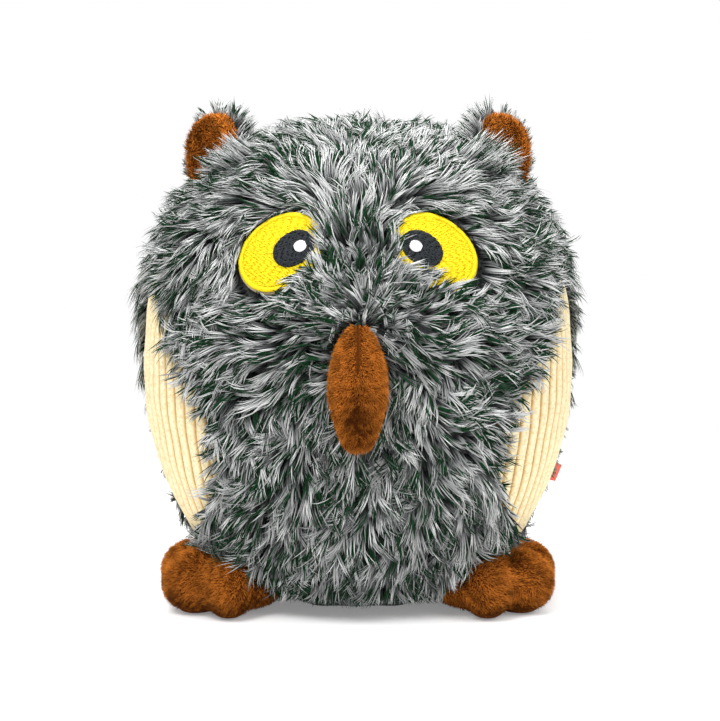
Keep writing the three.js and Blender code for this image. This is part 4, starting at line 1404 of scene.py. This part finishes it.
# Comb guides on the front: side share of the half width, height share of the whole, and the way that the hair
# goes, in degrees anticlockwise from the owl's left as seen from the front
FRONT_COMB_SHARES = [
    (-0.08, 1, 110), (-0.27, 1, 130), (-0.45, 0.98, 150), (-0.06, 0.93, 120), (-0.27, 0.95, 175),
    (-0.54, 0.95, 180), (-0.41, 0.93, 185), (-0.59, 0.89, 200), (-0.34, 0.89, 215), (-0.5, 0.87, 230),
    (-0.59, 0.82, 265), (-0.66, 0.76, 260), (-0.73, 0.7, 255), (-0.41, 0.71, 200), (-0.13, 0.79, 140),
    (-0.18, 0.73, 165), (-0.22, 0.71, 180), (-0.27, 0.65, 190), (-0.22, 0.61, 200), (-0.57, 0.64, 170),
    (-0.68, 0.59, 190), (-0.7, 0.54, 210), (-0.59, 0.52, 250), (-0.27, 0.58, 210), (-0.34, 0.53, 250),
    (-0.29, 0.49, 290), (-0.36, 0.46, 255), (-0.5, 0.44, 245), (-0.13, 0.36, 262), (-0.64, 0.35, 230),
    (-0.66, 0.24, 225), (-0.5, 0.24, 240), (-0.27, 0.19, 265), (-0.66, 0.15, 215), (-0.54, 0.08, 230),
    (-0.2, 0.04, 265), (-0.97, 0.72, 205), (-0.8, 0.86, 202), (-0.9, 0.8, 208), (0, 0.2, 268),
    (0.08, 1, 75), (0.29, 0.99, 60), (0.47, 0.98, 40), (0.06, 0.94, 60), (0.19, 0.95, 20),
    (0.38, 0.93, 0), (0.56, 0.91, -10), (0.75, 0.89, -10), (0.93, 0.84, -25), (0.33, 0.89, -15),
    (0.59, 0.83, -30), (0.84, 0.76, -25), (0.97, 0.72, -28), (0.75, 0.7, -35), (0.56, 0.73, -30),
    (0.33, 0.69, 25), (0.08, 0.78, 60), (0.12, 0.73, 60), (0.19, 0.76, 40), (0.24, 0.65, -10),
    (0.38, 0.63, 10), (0.56, 0.61, -10), (0.72, 0.59, -20), (0.17, 0.62, -60), (0.19, 0.57, -90),
    (0.31, 0.59, -95), (0.42, 0.48, 10), (0.52, 0.46, -20), (0.31, 0.44, -95), (0.56, 0.39, -50),
    (0.65, 0.33, -60), (0.72, 0.24, -65), (0.42, 0.33, -70), (0.19, 0.33, -85), (0.47, 0.15, -85),
    (0.72, 0.17, -40), (0.65, 0.08, -60), (0.2, 0.04, -90),
]

# Comb guides on the back, for one half and turned over for the other: side share, height share, then the way
# outwards, backwards and up
BACK_COMB_SHARES = [
    (0.05, 0.98, 0.1, 1, -0.2), (0.5, 0.95, 0.6, 0.8, -0.4), (0.05, 0.8, 0.1, 0, -1),
    (0.5, 0.75, 0.3, 0, -1), (0.95, 0.62, 0, 0.1, -1), (0.85, 0.75, 0.3, -0.3, -0.8),
    (0.05, 0.5, 0, 0, -1), (0.6, 0.45, 0.1, 0.2, -1), (0.95, 0.45, 0, 0, -1),
    (0.85, 0.25, 0, 0, -1), (0.05, 0.2, 0, 0, -1), (0.4, 0.15, 0.1, 0, -1),
]


# The place on the front or back of the body at a share of its half width and of its height
def guide_place(side_share, height_share, facing):
    height = height_share * (WIDEST_HEIGHT + CROWN_RISE) * 0.999
    spread = float(np.abs(np.cos(latitude_at(height))) ** (2 / squareness_at(height - WIDEST_HEIGHT)))
    side = math.copysign(min(abs(side_share), spread * 0.98), side_share)
    forward = (spread ** PLAN_SQUARENESS - abs(side) ** PLAN_SQUARENESS) ** (1 / PLAN_SQUARENESS)
    return np.array([side * BODY_WIDTH / 2, facing * forward * BODY_DEPTH / 2, height])


def comb_guides():
    places, ways = [], []
    for side_share, height_share, turn in FRONT_COMB_SHARES:
        place = guide_place(side_share, height_share, -1)
        normal = body_normal(place)
        across, up = math.cos(math.radians(turn)), math.sin(math.radians(turn))
        inward = (across * normal[0] + up * normal[2]) / max(-normal[1], 0.5)
        places.append(place)
        ways.append((across, inward, up))
    for side_share, height_share, out, back, up in BACK_COMB_SHARES:
        for turn in (1, -1):
            places.append(guide_place(turn * side_share, height_share, 1))
            ways.append((turn * out, back, up))
    return np.array(places), norm(np.array(ways))


def combed(points, normals):
    places, ways = comb_guides()
    gaps = ((points[:, None] - places[None]) ** 2).sum(-1)
    weights = 1 / (gaps + GUIDE_REACH ** 2) ** 2.5
    return along_surface(weights @ ways, normals)


# Directions spread evenly over a ball, on a spiral that turns by the golden angle
def even_directions(count):
    steps = np.arange(count) + 0.5
    rise = 1 - 2 * steps / count
    turn = np.pi * (1 + 5 ** 0.5) * steps
    flat = np.sqrt(1 - rise ** 2)
    return stack(flat * np.cos(turn), flat * np.sin(turn), rise)


# Roots spread evenly over the body, thinned where the even directions crowd
def body_samples(spacing):
    area = 4 * np.pi * (BODY_WIDTH / 2) ** 2 * SAMPLE_MARGIN
    points = on_body(even_directions(int(area / spacing ** 2)))
    normals = body_normal(points)
    arm = points - CENTRE
    weight = (arm ** 2).sum(-1) / (norm(arm) * normals).sum(-1)
    kept = rng.random(len(points)) < weight / (BODY_WIDTH / 2) ** 2 / SAMPLE_MARGIN
    return points[kept], normals[kept]


# Paths of strands from roots: the hair rises, bends over along its way and follows the body's rounding
def hair_paths(roots, normals, way, pull, length, tip_elevation, curl):
    sideways = np.cross(normals, way)
    paths = [roots - normals * ROOT_DEPTH]
    reach = np.zeros((len(roots), 1))
    for step in range(STRAND_STEPS):
        share = (step + 0.5) / STRAND_STEPS
        bent = share ** BEND_POWER
        elevation = (degrees(ROOT_ELEVATION) * (1 - bent) + tip_elevation * bent)[:, None]
        turn = (curl * share)[:, None]
        heading = norm(way * np.cos(turn) + sideways * np.sin(turn))
        move = (heading * np.cos(elevation) + normals * np.sin(elevation)) * (length / STRAND_STEPS)[:, None]
        level = move - (move * normals).sum(-1, keepdims=True) * normals
        reach = reach + np.linalg.norm(level, axis=-1, keepdims=True)
        drop = normals * (2 * reach * length[:, None] / STRAND_STEPS / BODY_WIDTH)
        paths.append(paths[-1] + move - drop + pull / STRAND_STEPS)
    return np.stack(paths, axis=1)


# Strands that would run into something are cut short before it
def kept_clear(paths, tests):
    alive = np.ones(len(paths), bool)
    for test in tests:
        hits = test(paths)
        first = np.where(hits.any(1), hits.argmax(1), STRAND_STEPS + 1)
        alive &= first > 1
        share = np.clip((first - 0.6) / STRAND_STEPS, 0, 1)[:, None] * np.arange(STRAND_STEPS + 1)[None]
        low = np.minimum(share.astype(int), STRAND_STEPS - 1)
        rest = (share - low)[..., None]
        index = np.arange(len(paths))[:, None]
        paths = paths[index, low] * (1 - rest) + paths[index, low + 1] * rest
    return paths, alive


def eye_local(points, side):
    return EYE_PLACE.into(mirror(points, side))


# Hair ends at an eye's edge, but what grows below and inside it may lie over its lower part
def eye_test(side):
    whole = Oval(EYE_LENGTH, EYE_WIDTH)
    below = math.radians(EYE_BELOW[side])
    inward = np.array([-math.cos(below), -math.sin(below)])

    def test(paths):
        local = eye_local(paths, side)
        root = norm(local[:, 0, :2]) @ inward
        limit = np.where(root > EYE_BELOW_SHARE, EYE_OVER_SHARES[side], 1.0)[:, None]
        return (whole.level(local) < limit) & (local[..., 2] > -EYE_UNDER) & (local[..., 2] < EYE_OVER)

    return test


def raised_over_eyes(paths):
    whole = Oval(EYE_LENGTH + EYE_MARGIN, EYE_WIDTH + EYE_MARGIN)
    for side, _ in HALVES:
        local = eye_local(paths, side)
        over = (whole.level(local) < 1) & (np.abs(local[..., 2]) < EYE_RAISE_REACH)
        fall = (local[..., :2] ** 2).sum(-1) / (2 * EYE_DOME)
        floor = FILL_LEVEL + EYE_HAIR_STAND - fall
        local[..., 2] = np.where(over, np.maximum(local[..., 2], floor), local[..., 2])
        paths = np.where(over[..., None], mirror(EYE_PLACE.out(local), side), paths)
    return paths


def beak_test(clear):
    def test(paths):
        local = BEAK_PLACE.into(paths)
        share = np.clip(-local[..., 2] / BEAK_LENGTH, 0.01, 0.99)
        width, depth = beak_halves(share, clear, 0.1)
        inside = (local[..., 0] / width) ** 2 + (local[..., 1] / depth) ** 2 < 1
        return inside & (local[..., 2] < -BEAK_ROOT_CLEAR) & (local[..., 2] > -BEAK_LENGTH - BEAK_TIP_CLEAR)

    return test


def ear_test(side):
    def test(paths):
        local, radius, angle = ear_local(paths, side)
        taper = ear_taper(local[..., 2], EAR_HEIGHT, EAR_ROUNDNESS)
        wall = (radius > EAR_CUP - 0.5) & (radius < EAR_CUP + EAR_LINING + EAR_BACK + EAR_CLEAR)
        wall &= (local[..., 2] > -EAR_CUP) & (local[..., 2] < EAR_HEIGHT)
        return wall & (angle < EAR_WRAP * taper + EAR_EDGE_CLEAR)

    return test


# Whether hair on the back of an ear comes through into its cup
def in_ear_cup(side):
    def test(paths):
        local, radius, _ = ear_local(paths, side)
        hits = (radius < EAR_CUP + EAR_LINING) & (local[..., 2] < EAR_HEIGHT)
        hits[:, 0] = False
        return hits

    return test


# The toes and the instep as places and half sizes
def foot_lobes():
    lobes = [(turn, TOE_REACH, TOE_SIZES) for turn in (0, -TOE_SPLAY, TOE_SPLAY)]
    for turn, reach, sizes in [*lobes, (0, 0, INSTEP_SIZES)]:
        axes = turned_axes(z=turn) @ FOOT_PLACE.axes
        middle = FOOT_PLACE.origin + np.array([0, -reach, FOOT_HEIGHT / 2 - FOOT_FLAT]) @ axes
        yield Place(middle, axes), np.array(sizes) / 2


def foot_test(side, clear, left=1.0):
    def test(paths):
        inside = np.zeros(paths.shape[:-1], bool)
        for place, half in foot_lobes():
            inside |= ((place.into(mirror(paths, side)) / (half + clear)) ** 2).sum(-1) < left
        return inside

    return test


# Hair that meets the upper part of a foot lies over it
def raised_over_feet(paths):
    for side, _ in HALVES:
        for place, half in foot_lobes():
            local = place.into(mirror(paths, side))
            level = np.sqrt(((local / (half + FUR_CLEAR + FUR_OVER)) ** 2).sum(-1))
            over = (level < 1) & (local[..., 2] > 0)
            grown = local / np.maximum(level, 0.3)[..., None]
            paths = np.where(over[..., None], mirror(place.out(grown), side), paths)
    return paths


# Low hair ends a little above the floor, lower still where it grows underneath
def floor_test(paths):
    return paths[..., 2] < np.minimum(FLOOR_CLEAR, UNDER_SHARE * paths[:, :1, 2] + UNDER_CLEAR)


def fur_material():
    look = Look("long_fur", 0.8, specular=0.08)
    place, along = look.uv("OFBake")
    kinds = look.math("MULTIPLY", place, 2 * TONES)
    variant = look.math("FRACT", kinds)
    kind = look.math("FLOOR", kinds)
    green = look.math("GREATER_THAN", kind, TONES - 0.5)
    darkness = look.math("DIVIDE", look.math("MODULO", kind, TONES), TONES - 1)
    # Along each strand, darker towards the root: darker fibre there, and painted shade deep in the coat
    light = look.ramp(along, [
        (0, (0.012, 0.013, 0.013)),
        (0.22, (0.09, 0.093, 0.095)),
        (0.42, (0.38, 0.39, 0.39)),
        (0.7, (0.74, 0.75, 0.74)),
    ])
    # The darker tones: dark grey hair, and painted shade where the body fur is shaded
    dark_hair_and_shade = look.ramp(along, [
        (0, (0.006, 0.007, 0.007)),
        (0.35, (0.022, 0.026, 0.026)),
        (0.7, (0.1, 0.105, 0.105)),
        (1, (0.2, 0.21, 0.21)),
    ])
    tip = look.ramp(along, [(0.42, (0, 0, 0)), (0.56, (1, 1, 1))])
    grey = look.mix(darkness, light, dark_hair_and_shade)
    grey = look.mix(look.math("MULTIPLY", variant, 0.3), grey, dark_hair_and_shade)
    dark_green = look.mix(variant, (0.004, 0.024, 0.007), (0.012, 0.056, 0.022))
    look.colour(look.mix(look.math("MULTIPLY", green, tip), grey, dark_green))
    return look.material


# Strands from low to high, in pieces that stay under a number of faces
def fur_bands(paths):
    order = np.argsort(paths[:, 0, 2])
    most = PIECE_FACES // ((STRAND_STEPS - 1) * SIDES * 2 + SIDES)
    return np.array_split(order, max(1, math.ceil(len(order) / most)))


def drifting(points, wave, size, spread, middle=0.0):
    return middle + wave * waves(points, size) + spread * rng.normal(size=len(points))


# Strands of tufts at points: each tuft has its own way, lift and length, and its strands gather to its tip
def grown_fur(points, normals, way, tip_elevation, length):
    turn = drifting(points, *TURN_SPREAD)[:, None]
    lift = degrees(drifting(points, *LIFT_SPREAD, tip_elevation))
    tuft_length = length * drifting(points, *LENGTH_SPREAD_SHARES, 1)
    tuft_curl = drifting(points, *CURL_SPREAD)
    way = norm(way * np.cos(turn) + np.cross(normals, way) * np.sin(turn))
    tufts = (normals, way, points, tuft_length, lift, tuft_curl)
    normals, way, points, size, tip, curl = (np.repeat(values, TUFT_STRANDS, axis=0) for values in tufts)
    count = len(points)
    radius = TUFT_SPREAD * np.sqrt(rng.random(count))
    around = 2 * np.pi * rng.random(count)
    aside = np.cross(normals, way)
    offset = way * (np.cos(around) * radius)[:, None] + aside * (np.sin(around) * radius)[:, None]
    way = along_surface(norm(way + STRAND_TURN_SHARE * rng.normal(size=(count, 3))), normals)
    size = size * (STRAND_LEAST_SHARE + STRAND_MORE_SHARE * rng.random(count))
    tip = np.maximum(tip + degrees(STRAND_LIFT) * rng.normal(size=count), degrees(LEAST_LIFT))
    curl = curl + STRAND_CURL * rng.normal(size=count)
    pull = -offset * (0.4 + 0.5 * rng.random(count))[:, None]
    return hair_paths(points + offset, normals, way, pull, size, tip, curl), normals


# The kind of each strand as the place in its UV: a tone of grey, with or without a green tip
def strand_kinds(tufts, darkness, green_share):
    tone = np.clip(np.floor(TONES * (darkness + 0.22 * rng.normal(size=tufts))), 0, TONES - 1)
    green_tuft = rng.random(tufts) < green_share
    tone, green_tuft = np.repeat(tone, TUFT_STRANDS), np.repeat(green_tuft, TUFT_STRANDS)
    green = rng.random(len(tone)) < np.where(green_tuft, GREEN_SHARE, STRAY_GREEN_SHARE)
    return (tone + TONES * green + 0.02 + 0.96 * rng.random(len(tone))) / (2 * TONES)


def add_hair(name, body, paths, variants, outward, material):
    thickness = FUR_WIDTH / 2 * (0.75 + 0.5 * rng.random((len(paths), 1)))
    radii = thickness * STRAND_TAPER_SHARES
    dress(strand_piece(name, paths, radii, variants, material, outward=outward), body, "grey_fur")


# Where the long fur grows: off the gores, eyes, feet and the ears' roots
def in_fur(points):
    angle = np.abs(angle_of(points))
    front, back = seams_at(points[:, 2])
    grows = (angle < front - degrees(0.5)) | (angle > back + degrees(0.2))
    grows &= points[:, 2] > FUR_LOW
    for side, _ in HALVES:
        local = eye_local(points, side)
        grows &= (Oval(EYE_LENGTH, EYE_WIDTH).level(local) > EYE_ROOT_SHARE) | (local[:, 2] < -EYE_ROOT_DEPTH)
        grows &= ~foot_test(side, FUR_CLEAR)(points)
        local, radius, _ = ear_local(points, side)
        behind = (radius < EAR_CUP + EAR_LINING + EAR_BACK + EAR_CLEAR) & (local[:, 1] > -EAR_ROOT_FRONT)
        grows &= ~(behind & (local[:, 2] > -EAR_ROOT_DEPTH))
    return grows


# Tufts: their roots, outward directions, ways, lengths and the elevation of their tips
def tuft_set(spacing, length, tip, near=None, comb=combed, scatter=0.0):
    points, normals = body_samples(spacing)
    kept = in_fur(points) & (near is None or near(points))
    points, normals = points[kept], normals[kept]
    way = comb(points, normals)
    if scatter:
        way = way + scatter * rng.normal(size=points.shape)
    even = np.ones(len(points))
    return points, normals, along_surface(way, normals), length * even, tip * even


def even_coat():
    points, normals, way, length, tip = tuft_set(TUFT_SPACING, FUR_LENGTH, TIP_ELEVATION)
    aside, back, height = np.abs(points[:, 0]), points[:, 1], points[:, 2]
    crown = np.clip(height / WIDEST_HEIGHT - CROWN_FROM_SHARE, 0, 1)
    side = np.clip((aside - SIDE_FROM) / SIDE_REACH, 0, 1)
    low = np.clip((WIDEST_HEIGHT - height) / LOW_REACH, 0, 1)
    beside = np.clip((aside - BACK_REACH) / BACK_REACH, 0, 1) * np.clip(back / BACK_REACH + 0.5, 0, 1)
    length = length * (1 - LOW_TRIM_SHARE * low * beside)
    return points, normals, way, length, tip - CROWN_DROP * crown - SIDE_DROP * side


# Shorter, less combed hair round the beak's root
def beak_tufts():
    middle = BEAK_PLACE.origin + np.array([0, 0, BEAK_TUFT_REACH / 3])

    def near(points):
        return np.linalg.norm(points - middle, axis=-1) < BEAK_TUFT_REACH

    return tuft_set(BEAK_TUFT_SPACING, BEAK_FUR_LENGTH, 2 * TIP_ELEVATION, near, scatter=0.8)


# Short hair on the body behind the beak, which shows when the beak lifts
def behind_beak_tufts():
    def near(points):
        share = (BEAK_PLACE.origin[2] - points[:, 2]) / BEAK_LENGTH
        return (np.abs(points[:, 0]) < BEAK_WIDTH / 2 + 2) & (points[:, 1] < 0) & (np.abs(share - 0.5) < 0.5)

    return tuft_set(BEAK_TUFT_SPACING, BEHIND_BEAK_LENGTH, 0, near)


# Short hair along the gores' seams, which hides the cloth that the combed coat leaves bare
def seam_tufts():
    def near(points):
        angle = np.abs(angle_of(points))
        front, back = seams_at(points[:, 2])
        beside = (front - angle < degrees(SEAM_FUR_ANGLE)) & (angle - back < degrees(SEAM_FUR_ANGLE))
        return beside & (points[:, 2] > GORE_BOTTOM - 2) & (points[:, 2] < GORE_TOP)

    return tuft_set(SEAM_TUFT_SPACING, SEAM_FUR_LENGTH, 2 * TIP_ELEVATION, near, scatter=0.6)


# Hair beside each ear that points out across its cup
def ear_tufts():
    def near(points):
        gap = np.c_[np.abs(points[:, 0]), points[:, 1:]] - EAR_TUFT_MIDDLE
        return np.linalg.norm(gap, axis=-1) < EAR_TUFT_REACH

    def outwards(points, _):
        return stack(np.sign(points[:, 0]), -0.1, 0)

    return tuft_set(EAR_TUFT_SPACING, EAR_TUFT_LENGTH, EAR_TUFT_RISE, near, outwards)


def add_body_fur(fur):
    sets = [even_coat(), beak_tufts(), behind_beak_tufts(), seam_tufts(), ear_tufts()]
    points, normals, way, length, tip = (np.concatenate(values) for values in zip(*sets))
    paths, outward = grown_fur(points, normals, way, tip, length)
    # Painted shade: darker hair in the beak's shadow and low on the body, which the light from above leaves in
    # shade
    beak_shadow = np.exp(-(((points - BEAK_PLACE.origin) / BEAK_SHADOW_REACH) ** 2).sum(-1))
    low = np.clip(1 - points[:, 2] / LOW_SHADE_HEIGHT, 0, 1)
    darkness = 0.16 + 0.35 * beak_shadow + 0.42 * low + 0.16 * waves(points, 20)
    variants = strand_kinds(len(points), darkness, GREEN_SHARE + 0.18 * waves(points, 16))
    pressed = np.repeat(length <= BEHIND_BEAK_LENGTH, TUFT_STRANDS)
    clear = np.where(pressed, -BEAK_PRESS, BEAK_CLEAR)[:, None]
    tests = [eye_test(1), eye_test(-1), beak_test(clear), floor_test]
    tests += [foot_test(side, 0, 0.22) for side, _ in HALVES] + [ear_test(side) for side, _ in HALVES]
    paths, near_feet = kept_clear(paths, tests)
    tests = [foot_test(side, FUR_CLEAR) for side, _ in HALVES] + [floor_test]
    paths, alive = kept_clear(raised_over_feet(paths), tests)
    alive &= near_feet
    paths, variants, outward = raised_over_eyes(paths[alive]), variants[alive], outward[alive]
    angle = np.abs(angle_of(paths[:, 0]))
    halves = (("left", paths[:, 0, 0] >= 0), ("right", paths[:, 0, 0] < 0))
    parts = (("front", angle < degrees(SIDE_SEAM)), ("back", angle >= degrees(SIDE_SEAM)))
    for part, in_part in parts:
        for word, in_half in halves:
            chosen = np.flatnonzero(in_part & in_half)
            for number, band in enumerate(fur_bands(paths[chosen])):
                strands = [values[chosen[band]] for values in (paths, variants, outward)]
                add_hair(f"{part}_fur_{word}_{number + 1}", "body", *strands, fur)


def add_ear_fur(fur):
    for side, word in HALVES:
        points, normals = sample_mesh(bpy.data.objects[f"ear_skin_{word}"], EAR_TUFT_SPACING)
        local, radius, _ = ear_local(points, side)
        outside = radius > EAR_CUP + EAR_LINING + EAR_GAP + EAR_BACK * 0.6
        outside &= body_level(points, 3) > 1
        points, normals = points[outside], normals[outside]
        sideways = local[outside, 0] / (EAR_CUP + EAR_LINING + EAR_BACK)
        way = along_surface(mirror(EAR_PLACE.turn(stack(0.5 * sideways, 0, 1)), side), normals)
        tip = EAR_FUR_ELEVATION * (1 - 0.5 * sideways)
        paths, outward = grown_fur(points, normals, way, tip, EAR_FUR_LENGTH * (1 - 0.3 * sideways))
        variants = strand_kinds(len(points), np.full(len(points), 0.2), 0.5)
        paths, alive = kept_clear(paths, [in_ear_cup(side)])
        strands = [values[alive] for values in (paths, variants, outward)]
        add_hair(f"ear_fur_{word}", f"ear_{word}", *strands, fur)


# Assembly
bpy.context.scene.view_settings.view_transform = "Standard"
add_camera()
add_lights()
add_world()
add_floor()
add_fur_skins()
add_corduroy()
add_eyes()
pile = brown_plush()
cloth = brown_cloth()
filling = cloth_material("fibre_filling", (0.72, 0.72, 0.7), (0.88, 0.88, 0.86), 1.5, 1.0)
fur = fur_material()
add_beak(pile, cloth)
add_ears(pile, cloth)
add_feet(pile, cloth, filling)
add_inside(filling)
add_base(fur)
add_label()
add_body_fur(fur)
add_ear_fur(fur)
